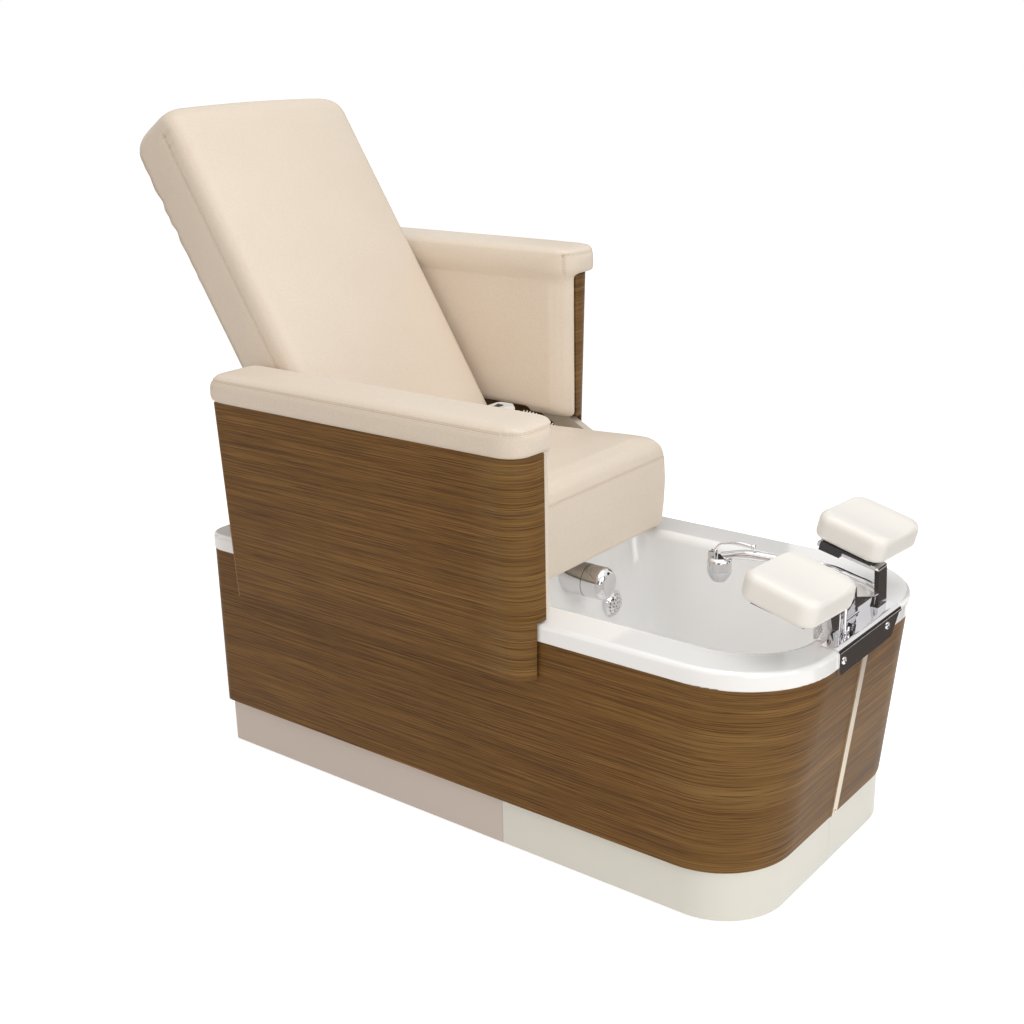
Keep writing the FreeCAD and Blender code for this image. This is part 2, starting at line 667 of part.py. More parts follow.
def trap_pipe():
    radius = TRAP_PIPE_RADIUS
    top = 150.0 - SEAT_GAP
    rise_x = DRAIN_X - TRAP_REACH
    points = [V(DRAIN_X, 0, top), V(DRAIN_X, 0, TRAP_LOW), V(rise_x, 0, TRAP_LOW),
              V(rise_x, 0, TRAP_CREST), V(rise_x - 96, 0, TRAP_CREST),
              V(FRAME_REAR + 60, 0, TRAP_OUTLET_Z)]
    body, _ = tube(points, radius)
    return body


def supply_pipes():
    """Hot and cold feeds to the mixer, and the mixed feed to the spout."""
    rear = MIXER_BODY_REAR
    pipes = []
    for y in (MIXER_Y - 16, MIXER_Y + 16):
        bend_z = MIXER_Z - SUPPLY_DROP
        bend_x = DECK_OPENING_REAR + 180
        points = [V(rear + 14, y, MIXER_Z - 26), V(rear + 14, y, bend_z),
                  V(bend_x, y, bend_z - SUPPLY_SAG), V(DECK_OPENING_REAR, y, bend_z - 80)]
        pipes.append(tube(points, SUPPLY_RADIUS)[0])
    run_y = BASIN_HALF_WIDTH_TOP + 20
    z = DECK_UNDERSIDE - 14
    corner_x = SPOUT_BASE_X - 42
    run_front = corner_x - 74
    feed = [V(rear + 8, MIXER_Y + 22 + SEAT_GAP, MIXER_Z), V(rear + 8, run_y - 115, MIXER_Z),
            V(rear + 46, run_y, z - 10), V((rear + 46 + run_front) / 2, run_y, z),
            V(run_front, run_y - 4, z), V(corner_x, run_y - 44, z),
            V(SPOUT_BASE_X, SPOUT_BASE_Y + 6, z)]
    pipes.append(tube(feed, SUPPLY_RADIUS)[0])
    return Part.makeCompound(pipes)


# Mixer

def mixer_parts():
    wall_x = basin_rear_x(MIXER_Z)
    split = wall_x + MIXER_REACH
    tip = split + MIXER_KNOB_LENGTH
    slope = (BASIN_REAR_LOW - BASIN_REAR_TOP) / (RIM_TOP - BASIN_FLOOR)
    body = rod(MIXER_RADIUS, V(wall_x - 20, MIXER_Y, MIXER_Z), V(split - 1, MIXER_Y, MIXER_Z))
    low, high = MIXER_Z - 60, MIXER_Z + 60
    wall_side = side_slab([(wall_x + slope * 60 + SEAT_GAP, low, 0), (split + 5, low, 0),
                           (split + 5, high, 0), (wall_x - slope * 60 + SEAT_GAP, high, 0)],
                          MIXER_Y - 60, MIXER_Y + 60)
    body = body.common(wall_side)
    neck = rod(MIXER_RADIUS * 0.6 - ROOM, V(MIXER_BODY_REAR + 20, MIXER_Y, MIXER_Z),
               V(split - 10, MIXER_Y, MIXER_Z))
    valve = rod(22, V(MIXER_BODY_REAR - 14, MIXER_Y, MIXER_Z), V(MIXER_BODY_REAR + 30, MIXER_Y, MIXER_Z))
    inlets = box(MIXER_BODY_REAR, MIXER_BODY_REAR + 24, MIXER_Y - 26, MIXER_Y + 26,
                 MIXER_Z - 26, MIXER_Z - 12)
    inlets = inlets.common(rod(60, V(MIXER_BODY_REAR, MIXER_Y, MIXER_Z),
                               V(MIXER_BODY_REAR + 30, MIXER_Y, MIXER_Z)))
    spindle = rod(9, V(split - 12, MIXER_Y, MIXER_Z), V(split + 20, MIXER_Y, MIXER_Z))
    body = fuse([body, neck, valve, inlets, spindle])
    knob = rod(MIXER_RADIUS - 0.5, V(split, MIXER_Y, MIXER_Z), V(tip, MIXER_Y, MIXER_Z))
    knob = knob.makeFillet(16, edges_at(knob, lambda p: abs(p.x - tip) < 0.01))
    knob = knob.cut(rod(9 + RUNNING, V(split - 1, MIXER_Y, MIXER_Z), V(split + 20.4, MIXER_Y, MIXER_Z)))
    return body, knob


# Whirlpool jet in the rear wall

def jet_axis(x):
    return V(x, JET_Y, JET_Z)


def jet_parts():
    wall_x = basin_rear_x(JET_Z)
    slope = (BASIN_REAR_LOW - BASIN_REAR_TOP) / (RIM_TOP - BASIN_FLOOR)
    lean = slope * JET_COVER_RADIUS
    seat = wall_x + lean + 1
    ball_radius = (JET_COVER_RADIUS ** 2 + JET_COVER_RISE ** 2) / (2 * JET_COVER_RISE)
    centre = seat + JET_COVER_RISE - ball_radius
    dome = Part.makeSphere(ball_radius, jet_axis(centre))
    inner = Part.makeSphere(ball_radius - 2, jet_axis(centre))
    skin = rod(JET_COVER_RADIUS, jet_axis(seat), jet_axis(seat + 40)).common(dome).cut(inner)
    wall_face = side_slab([(wall_x - slope * -60 + SEAT_GAP, JET_Z - 60, 0), (seat + 60, JET_Z - 60, 0),
                           (seat + 60, JET_Z + 60, 0), (wall_x - slope * 60 + SEAT_GAP, JET_Z + 60, 0)],
                          JET_Y - 60, JET_Y + 60)
    collar = rod(JET_COVER_RADIUS, jet_axis(wall_x - 20), jet_axis(seat + 0.5))
    collar = collar.cut(rod(JET_COVER_RADIUS - 2, jet_axis(wall_x - 21), jet_axis(seat + 1)))
    cover = skin.fuse(collar.common(wall_face))
    holes = []
    for ring, count in ((8.0, 6), (15.0, 12), (22.0, 18)):
        for i in range(count):
            angle = 2 * math.pi * i / count
            y = JET_Y + ring * math.cos(angle)
            z = JET_Z + ring * math.sin(angle)
            holes.append(rod(1.6, V(seat - 2, y, z), V(seat + 40, y, z)))
    cover = cover.cut(Part.makeCompound(holes))
    back = basin_rear_x(JET_Z) - BASIN_WALL - lean - 8
    housing = rod(JET_MOTOR_RADIUS, jet_axis(back - JET_MOTOR_LENGTH), jet_axis(back))
    gasket_plane = side_slab([(back - 5, JET_Z - 60, 0),
                              (wall_x - BASIN_WALL - 0.4 + slope * 60, JET_Z - 60, 0),
                              (wall_x - BASIN_WALL - 0.4 - slope * 60, JET_Z + 60, 0),
                              (back - 5, JET_Z + 60, 0)], JET_Y - 60, JET_Y + 60)
    gasket = rod(30, jet_axis(back - 2), jet_axis(wall_x + 30)).common(gasket_plane)
    shaft_hole = rod(JET_SHAFT_RADIUS + RUNNING, jet_axis(back - 30), jet_axis(wall_x + 40))
    motor = housing.fuse(gasket).cut(shaft_hole)
    hub_x = seat
    shaft = rod(JET_SHAFT_RADIUS, jet_axis(back - 29), jet_axis(hub_x))
    blades = [rod(9, jet_axis(hub_x), jet_axis(hub_x + 6))]
    for i in range(5):
        blade = box(hub_x, hub_x + 5, JET_Y - 1.2, JET_Y + 1.2, JET_Z, JET_Z + 20)
        blade.rotate(jet_axis(hub_x), V(1, 0, 0), 72 * i)
        blades.append(blade)
    impeller = fuse([shaft] + blades)
    return cover, motor, impeller


# Filling spout with its lever and frosted shade

def spout_base(tub_solid):
    """Collar on the rim, shaped underneath to the rim it stands on."""
    def upright(radius, z0, z1):
        return rod(radius, V(SPOUT_BASE_X, SPOUT_BASE_Y, z0), V(SPOUT_BASE_X, SPOUT_BASE_Y, z1))

    low = RIM_TOP - 6
    top = RIM_TOP + 5
    collar = upright(SPOUT_BASE_RADIUS, low, top).cut(tub_solid)
    collar = collar.cut(upright(SPOUT_PEG_RADIUS + ROOM, low - 1, RIM_TOP))
    collar = collar.cut(upright(SPOUT_PEG_RADIUS + RUNNING, RIM_TOP - 1, top + 1))
    return max(collar.Solids, key=lambda solid: solid.BoundBox.ZMax)


def spout_arm():
    start = V(SPOUT_BASE_X, SPOUT_BASE_Y, RIM_TOP + 5 + SEAT_GAP)
    reach = V(SPOUT_HEAD_X - SPOUT_BASE_X, SPOUT_HEAD_Y - SPOUT_BASE_Y, 0)
    wires = [Part.Wire(Part.makeCircle(SPOUT_NECK_RADIUS, start, V(0, 0, 1)))]
    for share, below_top, radius, climb in SPOUT_BEND:
        centre = V(SPOUT_BASE_X, SPOUT_BASE_Y, SPOUT_TOP - below_top) + reach * share
        level = math.sqrt(1 - climb ** 2) / reach.Length
        normal = V(reach.x * level, reach.y * level, climb)
        wires.append(Part.Wire(Part.makeCircle(radius, centre, normal)))
    tail = loft(wires, False)
    head = V(SPOUT_HEAD_X, SPOUT_HEAD_Y, SPOUT_RING_BOTTOM)
    ring = rod(SPOUT_RING_RADIUS, head, V(SPOUT_HEAD_X, SPOUT_HEAD_Y, SPOUT_RING_TOP))
    ring = ring.makeFillet(9, edges_at(ring, lambda p: abs(p.z - SPOUT_RING_TOP) < 0.01))
    peg = rod(SPOUT_PEG_RADIUS, V(SPOUT_BASE_X, SPOUT_BASE_Y, RIM_TOP - 5), start)
    water = rod(SPOUT_RING_RADIUS - 3, head, V(SPOUT_HEAD_X, SPOUT_HEAD_Y, SPOUT_RING_BOTTOM + 10))
    slot = box(SPOUT_HEAD_X - 30, SPOUT_HEAD_X + 15, SPOUT_HEAD_Y - 3.2, SPOUT_HEAD_Y + 3.2,
               SPOUT_RING_TOP - 3, SPOUT_RING_TOP + 30)
    arm = fuse([tail, ring, peg]).cut(water)
    ears = box(SPOUT_HEAD_X - 22, SPOUT_HEAD_X - 8, SPOUT_HEAD_Y - 7, SPOUT_HEAD_Y + 7,
               SPOUT_RING_TOP - 6, LEVER_PIVOT_Z + 4)
    ears = ears.cut(slot)
    pivot_hole = rod(2 + RUNNING, V(LEVER_PIVOT_X, SPOUT_HEAD_Y - 20, LEVER_PIVOT_Z),
                     V(LEVER_PIVOT_X, SPOUT_HEAD_Y + 20, LEVER_PIVOT_Z))
    return arm.fuse(ears).cut(pivot_hole)


def spout_lever():
    y = SPOUT_HEAD_Y
    hub = rod(4, V(LEVER_PIVOT_X, y - 2.8, LEVER_PIVOT_Z), V(LEVER_PIVOT_X, y + 2.8, LEVER_PIVOT_Z))
    pin = rod(2, V(LEVER_PIVOT_X, y - 7, LEVER_PIVOT_Z), V(LEVER_PIVOT_X, y + 7, LEVER_PIVOT_Z))
    points = [V(LEVER_PIVOT_X, y, LEVER_PIVOT_Z), V(LEVER_PIVOT_X + 14, y, LEVER_PIVOT_Z + 22),
              V(LEVER_PIVOT_X + 52, y + 3, LEVER_PIVOT_Z + 31),
              V(LEVER_PIVOT_X + 84, y + 6, LEVER_PIVOT_Z + 27)]
    stem, _ = tube(points, 2.6)
    ball = Part.makeSphere(5.5, points[-1])
    return fuse([hub, pin, stem, ball])


def spout_shade():
    top = SPOUT_RING_BOTTOM - SEAT_GAP
    height = top - SPOUT_SHADE_BOTTOM
    wires = []
    for sine, cosine in quarter_steps(5)[:-1]:
        radius = 9 + (SPOUT_RING_RADIUS - 9) * cosine
        centre = V(SPOUT_HEAD_X, SPOUT_HEAD_Y, top - height * sine)
        wires.append(Part.Wire(Part.makeCircle(radius, centre, V(0, 0, 1))))
    bowl = loft(wires)
    bore = rod(7, V(SPOUT_HEAD_X, SPOUT_HEAD_Y, SPOUT_SHADE_BOTTOM - 5),
               V(SPOUT_HEAD_X, SPOUT_HEAD_Y, top + 5))
    return bowl.cut(bore)


# Footrest bracket, posts and pads

def footrest_bracket():
    """Sheet folded over the front rim, with its upstand, perforated cheek, brace and pull rod."""
    sheet = BRACKET_SHEET
    outer_x = RIM_FRONT + SEAT_GAP + sheet
    top = RIM_TOP + SEAT_GAP + sheet
    inner_bend = RIM_TOP_ROUND + SEAT_GAP
    rear_x = UPSTAND_FACE_X - sheet
    corners = [(outer_x, BRACKET_BOTTOM, 0), (outer_x, top, inner_bend + sheet),
               (rear_x, top, 0), (rear_x, top - sheet, 0),
               (outer_x - sheet, top - sheet, inner_bend), (outer_x - sheet, BRACKET_BOTTOM, 0)]
    folded = side_slab(corners, BRACKET_RIGHT, BRACKET_TOP_LEFT)
    folded = folded.cut(flange_waste(outer_x))
    lower = [edge for edge in edges_at(folded, lambda p: p.z < BRACKET_BOTTOM + 0.1)
             if edge.Length < sheet + 0.1]
    folded = folded.makeFillet(BRACKET_CORNER, lower)
    folded = cut(folded, [rod(SCREW_SHANK + RUNNING, V(outer_x - 20, y, z), V(outer_x + 5, y, z))
                          for y, z in BRACKET_SCREWS])
    return fuse([folded, bracket_upstand(top), bracket_cheek(top), bracket_brace(top),
                 pull_rod(top)])


def flange_waste(outer_x):
    """What the slanted left edge takes off the front flange."""
    high = RIM_TOP - RIM_TOP_ROUND
    beyond = BRACKET_TOP_LEFT + 1
    points = [V(outer_x - 10, BRACKET_FLANGE_LEFT_LOW, BRACKET_BOTTOM - 1),
              V(outer_x - 10, beyond, BRACKET_BOTTOM - 1), V(outer_x - 10, beyond, high),
              V(outer_x - 10, BRACKET_FLANGE_LEFT_HIGH, high)]
    return Part.Face(Part.makePolygon(points + points[:1])).extrude(V(20, 0, 0))


def bracket_upstand(top):
    """Polished plate standing along the sheet's rear edge, lower towards the left."""
    x = UPSTAND_FACE_X - BRACKET_SHEET
    points = [V(x, UPSTAND_RIGHT, top - 1), V(x, UPSTAND_LEFT, top - 1),
              V(x, UPSTAND_LEFT, UPSTAND_LEFT_TOP), V(x, UPSTAND_SLOPE_START_Y, UPSTAND_TOP),
              V(x, UPSTAND_RIGHT, UPSTAND_TOP)]
    return Part.Face(Part.makePolygon(points + points[:1])).extrude(V(BRACKET_SHEET, 0, 0))


def bracket_cheek(top):
    """Perforated cheek at the right end, square to the upstand."""
    front_x = UPSTAND_FACE_X - SEAT_GAP
    cheek = box(CHEEK_REAR_X, front_x, CHEEK_Y, CHEEK_Y + CHEEK_SHEET, top - 1, CHEEK_TOP)
    margin = CHEEK_HOLE_PITCH * 0.9
    rows = int((CHEEK_TOP - top - 2 * margin) / CHEEK_HOLE_PITCH) + 1
    columns = int((front_x - CHEEK_REAR_X - 2.5 * margin) / CHEEK_HOLE_PITCH) + 1
    holes = []
    for row in range(rows):
        for column in range(columns):
            x = CHEEK_REAR_X + margin + (column + 0.5 * (row % 2)) * CHEEK_HOLE_PITCH
            z = top + margin + row * CHEEK_HOLE_PITCH
            holes.append(rod(CHEEK_HOLE_RADIUS, V(x, CHEEK_Y - 1, z),
                             V(x, CHEEK_Y + CHEEK_SHEET + 1, z)))
    return cheek.cut(Part.makeCompound(holes))


def bracket_brace(top):
    """Narrow leaning bar in front of the upstand."""
    half = BRACE_WIDTH / 2
    x0, x1 = UPSTAND_FACE_X, UPSTAND_FACE_X + BAR_THICKNESS
    return bar_between([(x0, x1, BRACE_FOOT_Y - half, BRACE_FOOT_Y + half, top - 1),
                        (x0, x1, BRACE_HEAD_Y - half, BRACE_HEAD_Y + half, BRACE_TOP)])


def pull_rod(top):
    """Thin rod with a hooked foot, and the bolt that ties it to the brace."""
    x = UPSTAND_FACE_X + BAR_THICKNESS + PULL_ROD_RADIUS + SEAT_GAP
    low = top + PULL_ROD_RADIUS - 1
    hook_y = PULL_ROD_Y + PULL_ROD_HOOK
    points = [V(x, PULL_ROD_Y, PULL_ROD_TOP), V(x, PULL_ROD_Y, low), V(x, hook_y, low),
              V(x, hook_y, low + PULL_ROD_HOOK * 0.7)]
    body, _ = tube(points, PULL_ROD_RADIUS)
    bolt_x = UPSTAND_FACE_X + BAR_THICKNESS
    bolt = rod(CROSS_BOLT_RADIUS, V(bolt_x, PULL_ROD_Y, CROSS_BOLT_Z),
               V(bolt_x, BRACE_FOOT_Y, CROSS_BOLT_Z))
    bolt = bolt.common(box(bolt_x, bolt_x + 10, PULL_ROD_Y, BRACE_FOOT_Y,
                           CROSS_BOLT_Z - 10, CROSS_BOLT_Z + 10))
    return body.fuse(bolt)


def pad_frame(shape, x, y):
    """Moves a shape built level about its top centre to a pad's place and tilt."""
    placed = shape.copy()
    placed.rotate(V(0, 0, 0), V(0, 0, 1), PAD_YAW)
    return under_pad(placed, x, y)


def under_pad(shape, x, y):
    """Tilts a shape built under a level pad centre and moves it to that pad."""
    placed = shape.copy()
    placed.rotate(V(0, 0, 0), V(0, 1, 0), PAD_TILT)
    placed.translate(V(x, y, PAD_TOP_Z))
    return placed


def footrest_post(pad_x, pad_y, foot_y, head_y, head_x):
    """Flat bar that leans from the bracket to the pad, then runs back under it as a leg."""
    half = BAR_WIDTH / 2
    tilt = math.radians(PAD_TILT)
    leg_top = -PAD_THICKNESS - PAD_PLATE - SEAT_GAP
    head_front = head_x + BAR_THICKNESS

    def along_leg(x, depth):
        return (x - pad_x - depth * math.sin(tilt)) / math.cos(tilt)

    leg = box(along_leg(LEG_REAR_X, leg_top), along_leg(head_front, leg_top - BAR_THICKNESS),
              head_y - half - pad_y, head_y + half - pad_y, leg_top - BAR_THICKNESS, leg_top)
    foot_z = RIM_TOP + SEAT_GAP + BRACKET_SHEET
    head_z = PAD_TOP_Z + leg_top
    foot_front = UPSTAND_FACE_X + BAR_THICKNESS
    bar = bar_between([(UPSTAND_FACE_X, foot_front, foot_y - half, foot_y + half, foot_z),
                       (head_x, head_front, head_y - half, head_y + half, head_z)])
    far = 500.0
    above = under_pad(box(-far, far, -far, far, leg_top - BAR_THICKNESS / 2, far), pad_x, pad_y)
    placed_leg = under_pad(leg, pad_x, pad_y)
    ahead = box(head_front, head_front + 100, -far, far, foot_z, PAD_TOP_Z)
    return fuse([placed_leg.cut(ahead), bar.cut(above)])


def footrest_plate(pad_x, pad_y, leg_y):
    """Steel plate under a pad, with guides that grip the leg."""
    half_x = PAD_LENGTH / 2 - PAD_PLATE_INSET_X
    half_y = PAD_WIDTH / 2 - PAD_PLATE_INSET_Y
    plate_bottom = -PAD_THICKNESS - PAD_PLATE
    lip_top = plate_bottom - SEAT_GAP - BAR_THICKNESS - ROOM
    lip_bottom = lip_top - PAD_GUIDE_LIP
    centre = leg_y - pad_y
    reach = BAR_WIDTH / 2 + ROOM + PAD_GUIDE_WALL
    pieces = [box(-half_x, half_x, min(-half_y, centre - reach), max(half_y, centre + reach),
                  plate_bottom, -PAD_THICKNESS)]
    for side in (-1, 1):
        near = centre + side * (BAR_WIDTH / 2 + ROOM)
        outer = centre + side * reach
        lip = centre + side * (BAR_WIDTH / 2 - PAD_GUIDE_WALL)
        pieces.append(box(PAD_GUIDE_REAR, PAD_GUIDE_FRONT, min(near, outer), max(near, outer),
                          lip_bottom, plate_bottom + 1))
        pieces.append(box(PAD_GUIDE_REAR, PAD_GUIDE_FRONT, min(lip, outer), max(lip, outer),
                          lip_bottom, lip_top))
    return under_pad(fuse(pieces), pad_x, pad_y)


def footrest_pad():
    """Moulded saddle pad with rounded corners and a top dished along its width."""
    steps = 4
    half_x = PAD_LENGTH / 2
    half_y = PAD_WIDTH / 2

    def section(inset, z):
        x, y = half_x - inset, half_y - inset
        radius = PAD_CORNER - inset
        corners = [(-x, -y, radius), (x, -y, radius), (x, y, radius), (-x, y, radius)]
        return outline(corners, lambda a, b: V(a, b, z))

    wires = [section(PAD_LOW_ROUND, -PAD_THICKNESS)]
    for sine, cosine in quarter_steps(steps)[1:]:
        wires.append(section(PAD_LOW_ROUND * (1 - sine),
                             -PAD_THICKNESS + PAD_LOW_ROUND * (1 - cosine)))
    for sine, cosine in quarter_steps(steps):
        wires.append(section(PAD_HIGH_ROUND * (1 - cosine),
                             PAD_DISH - PAD_HIGH_ROUND * (1 - sine)))
    saddle = rod(PAD_SADDLE_RADIUS, V(-PAD_LENGTH, 0, PAD_SADDLE_RADIUS),
                 V(PAD_LENGTH, 0, PAD_SADDLE_RADIUS))
    return loft(wires).cut(saddle)


# Seat carriage

def slide_rails():
    half = RAIL_WIDTH / 2
    rails = []
    for y in (-RAIL_Y, RAIL_Y):
        rails.append(box(RAIL_REAR, RAIL_FRONT, y - half, y + half,
                         RAIL_BOTTOM, RAIL_BOTTOM + RAIL_HEIGHT))
    return Part.makeCompound(rails)


def slide_blocks():
    half = RAIL_WIDTH / 2
    blocks = []
    for x in (-480, -230):
        for y in (-RAIL_Y, RAIL_Y):
            block = box(x, x + BLOCK_LENGTH, y - half - 9, y + half + 9,
                        RAIL_BOTTOM + 4, CARRIAGE_BOTTOM)
            groove = box(x - 1, x + BLOCK_LENGTH + 1, y - half - SEAT_GAP, y + half + SEAT_GAP,
                         RAIL_BOTTOM, RAIL_BOTTOM + RAIL_HEIGHT + SEAT_GAP)
            blocks.append(block.cut(groove))
    return Part.makeCompound(blocks)


def slide_actuator():
    body = rod(ACTUATOR_RADIUS, V(ACTUATOR_REAR, 0, ACTUATOR_Z), V(ACTUATOR_FRONT, 0, ACTUATOR_Z))
    motor = rod(20, V(-500, 0, 370), V(-500, 0, ACTUATOR_Z))
    bore = rod(ACTUATOR_ROD_RADIUS + RUNNING, V(ACTUATOR_REAR + 6, 0, ACTUATOR_Z),
               V(ACTUATOR_FRONT + 1, 0, ACTUATOR_Z))
    saddle = box(ACTUATOR_REAR, ACTUATOR_REAR + 24, -12, 12, RAIL_BOTTOM, ACTUATOR_Z)
    return fuse([body, motor, saddle]).cut(bore)


def slide_rod():
    shaft = rod(ACTUATOR_ROD_RADIUS, V(-520, 0, ACTUATOR_Z), V(-250, 0, ACTUATOR_Z))
    lug = box(-262, -240, -12, 12, ACTUATOR_Z - 10, CARRIAGE_BOTTOM)
    return fuse([shaft, lug])


def carriage_plate():
    radius = 25.0
    corners = [(CARRIAGE_REAR, -CARRIAGE_HALF_WIDTH, radius),
               (CARRIAGE_FRONT, -CARRIAGE_HALF_WIDTH, radius),
               (CARRIAGE_FRONT, CARRIAGE_HALF_WIDTH, radius),
               (CARRIAGE_REAR, CARRIAGE_HALF_WIDTH, radius)]
    return slab(corners, CARRIAGE_BOTTOM, CARRIAGE_TOP)


def seat_frame():
    """Welded tube frame on the carriage plate, with the backrest's hinge plates."""
    size = SEAT_FRAME_TUBE
    side = SEAT_FRAME_HALF_WIDTH
    top = CARRIAGE_TOP + SEAT_FRAME_HEIGHT
    rear = HINGE_X - HINGE_PLATE_FOOT / 2
    post_xs = (SEAT_FRAME_REAR, SEAT_FRAME_FRONT - size)
    members = []
    for y0, y1 in ((-side, -side + size), (side - size, side)):
        members.append(square_tube(rear, SEAT_FRAME_FRONT, y0, y1,
                                   CARRIAGE_TOP, CARRIAGE_TOP + size, "x"))
        members.append(square_tube(SEAT_FRAME_REAR, SEAT_FRAME_FRONT, y0, y1, top - size, top, "x"))
        for x in post_xs:
            members.append(square_tube(x, x + size, y0, y1, CARRIAGE_TOP + size, top - size, "z"))
    for x in post_xs:
        members.append(square_tube(x, x + size, size - side, side - size, top - size, top, "y"))
    frame = cut(fuse([outer for outer, _ in members]), [inner for _, inner in members])
    plates = []
    for y in (-side, side - HINGE_PLATE):
        plates.append(side_slab([(rear, CARRIAGE_TOP, 0), (rear + HINGE_PLATE_FOOT, CARRIAGE_TOP, 0),
                                 (HINGE_X + 20, HINGE_Z + 20, 19),
                                 (HINGE_X - 20, HINGE_Z + 20, 19)], y, y + HINGE_PLATE))
    bar_half = RECLINE_BAR_WIDTH / 2
    plates.append(box(RECLINE_TUBE_FRONT - bar_half, RECLINE_TUBE_FRONT + bar_half, -side, side,
                      CARRIAGE_TOP, CARRIAGE_TOP + RECLINE_BAR_HEIGHT))
    pin_hole = rod(HINGE_PIN_RADIUS + RUNNING, V(HINGE_X, -400, HINGE_Z), V(HINGE_X, 400, HINGE_Z))
    return fuse([frame] + plates).cut(pin_hole)


def hinge_pins():
    pins = []
    for side in (-1, 1):
        start = side * (SEAT_FRAME_HALF_WIDTH - HINGE_PLATE - 30)
        end = side * (SEAT_FRAME_HALF_WIDTH + 4)
        shank = rod(HINGE_PIN_RADIUS, V(HINGE_X, start, HINGE_Z), V(HINGE_X, end, HINGE_Z))
        head = rod(HINGE_PIN_RADIUS + 5, V(HINGE_X, side * (SEAT_FRAME_HALF_WIDTH + SEAT_GAP), HINGE_Z),
                   V(HINGE_X, end, HINGE_Z))
        pins.append(shank.fuse(head))
    return Part.makeCompound(pins)


def seat_board():
    top = CARRIAGE_TOP + SEAT_FRAME_HEIGHT
    return box(SEAT_FRAME_REAR, SEAT_FRAME_FRONT, 2 - SEAT_FRAME_HALF_WIDTH, SEAT_FRAME_HALF_WIDTH - 2,
               top, top + SEAT_BOARD)


def seat_cushion():
    """Crowned seat with drawn-in sides, hollow below for its frame and board."""
    level_x = HANDSET_X + HANDSET_WIDTH / 2

    def section(inset, z, tilt=0.0):
        rear, front = SEAT_REAR + inset * 0.5, SEAT_FRONT - inset
        narrow, wide = SEAT_HALF_WIDTH - inset, SEAT_FRONT_HALF_WIDTH - inset
        start = rear + SEAT_FLARE_START * (front - rear)
        end = rear + SEAT_FLARE_END * (front - rear)
        rear_corner = max(18 - inset * 0.2, 8)
        front_corner = max(32 - inset * 0.1, 20)
        side = [(rear, narrow, rear_corner), (start, narrow, 60), (end, wide, 60),
                (front, wide, front_corner)]
        corners = [(x, -y, radius) for x, y, radius in side] + side[::-1]
        return outline(corners, lambda a, b: V(a, b, z + tilt * (a - level_x)))

    bottom = CARRIAGE_TOP + SEAT_GAP
    wires = [section(SEAT_DRAW_IN, bottom)]
    wires.append(section(SEAT_DRAW_IN * 0.3, (bottom * 2 + SEAT_EDGE_TOP) / 3))
    wires.append(section(0, (bottom + SEAT_EDGE_TOP * 2) / 3))
    wires.append(section(2, SEAT_EDGE_TOP))
    rise = SEAT_TOP - SEAT_EDGE_TOP
    for inset, share in SEAT_CROWN:
        wires.append(section(inset, SEAT_EDGE_TOP + rise * share, SEAT_TOP_TILT * share))
    cushion = loft(wires)
    inner = SEAT_FRAME_HALF_WIDTH + 2
    cavity = box(SEAT_REAR - 10, SEAT_FRAME_FRONT + 2, -inner, inner,
                 bottom - 1, CARRIAGE_TOP + SEAT_FRAME_HEIGHT + SEAT_BOARD + SEAT_GAP)
    return cushion.cut(cavity)


# Backrest: built upright about the hinge line, then leaned back

def leaned(shape):
    tilted = shape.copy()
    tilted.rotate(V(0, 0, 0), V(0, 1, 0), -BACK_ANGLE)
    tilted.translate(V(HINGE_X, 0, HINGE_Z))
    return tilted


def back_section(half_width, half_depth, crown, radius, z):
    """Rounded outline with a crowned front face, upright, at height z above the hinge line."""
    corner = min(radius, half_depth * 0.8)
    front = half_depth
    points_rear = [(-front, -half_width, corner), (-front, half_width, corner)]
    straight = half_width - corner

    def place(a, b):
        return V(a, b, z)

    base = outline([(points_rear[0]), (front, -half_width, corner), (front, half_width, corner),
                    (points_rear[1])], place)
    edges = [edge for edge in base.Edges]
    kept = []
    for edge in edges:
        middle = edge.valueAt((edge.FirstParameter + edge.LastParameter) / 2)
        if abs(middle.x - front) < 0.001 and abs(middle.y) < 0.001:
            arc = Part.Arc(V(front, -straight, z), V(front + crown, 0, z), V(front, straight, z))
            kept.append(arc.toShape())
        else:
            kept.append(edge)
    return Part.Wire(Part.__sortEdges__(kept))


def backrest_cushion(frame):
    half = BACK_THICKNESS / 2
    wires = []
    low_steps = [(0.97, 0.25), (0.82, 0.57), (0.55, 0.83), (0.25, 0.97)]
    for drop, share in low_steps:
        wires.append(back_section(BACK_HALF_WIDTH - 8, (half - 1) * share, 2, 26, -(half - 1) * drop))
    wires.append(back_section(BACK_HALF_WIDTH - 5, half - 1, 3, 30, 0))
    body_top = BACK_LENGTH - BACK_TOP_ROUND
    for share, grow in ((0.12, 3), (0.35, 1), (0.65, 0), (0.9, 0)):
        wires.append(back_section(BACK_HALF_WIDTH - grow, half, BACK_CROWN * (1 - grow / 4), 32,
                                  body_top * share))
    for sine, cosine in quarter_steps(4):
        inset = BACK_TOP_ROUND * (1 - cosine) * 0.9
        wires.append(back_section(BACK_HALF_WIDTH - inset, half - inset, BACK_CROWN * cosine + 1,
                                  32, body_top + BACK_TOP_ROUND * sine))
    cushion = loft(wires)
    far = 400.0
    for y0, y1 in ((-far, -BACK_NOTCH_HALF_WIDTH), (BACK_NOTCH_HALF_WIDTH, far)):
        cushion = cushion.cut(box(-far, BACK_NOTCH_FRONT, y0, y1, -far, BACK_NOTCH_LENGTH))
        cushion = cushion.cut(box(-far, far, y0, y1, -far, BACK_NOTCH_LOW))
    crank_slot = box(-far, 14, CRANK_Y - 30, CRANK_Y + 30, -far, 20)
    return leaned(cushion.cut(crank_slot).cut(frame))


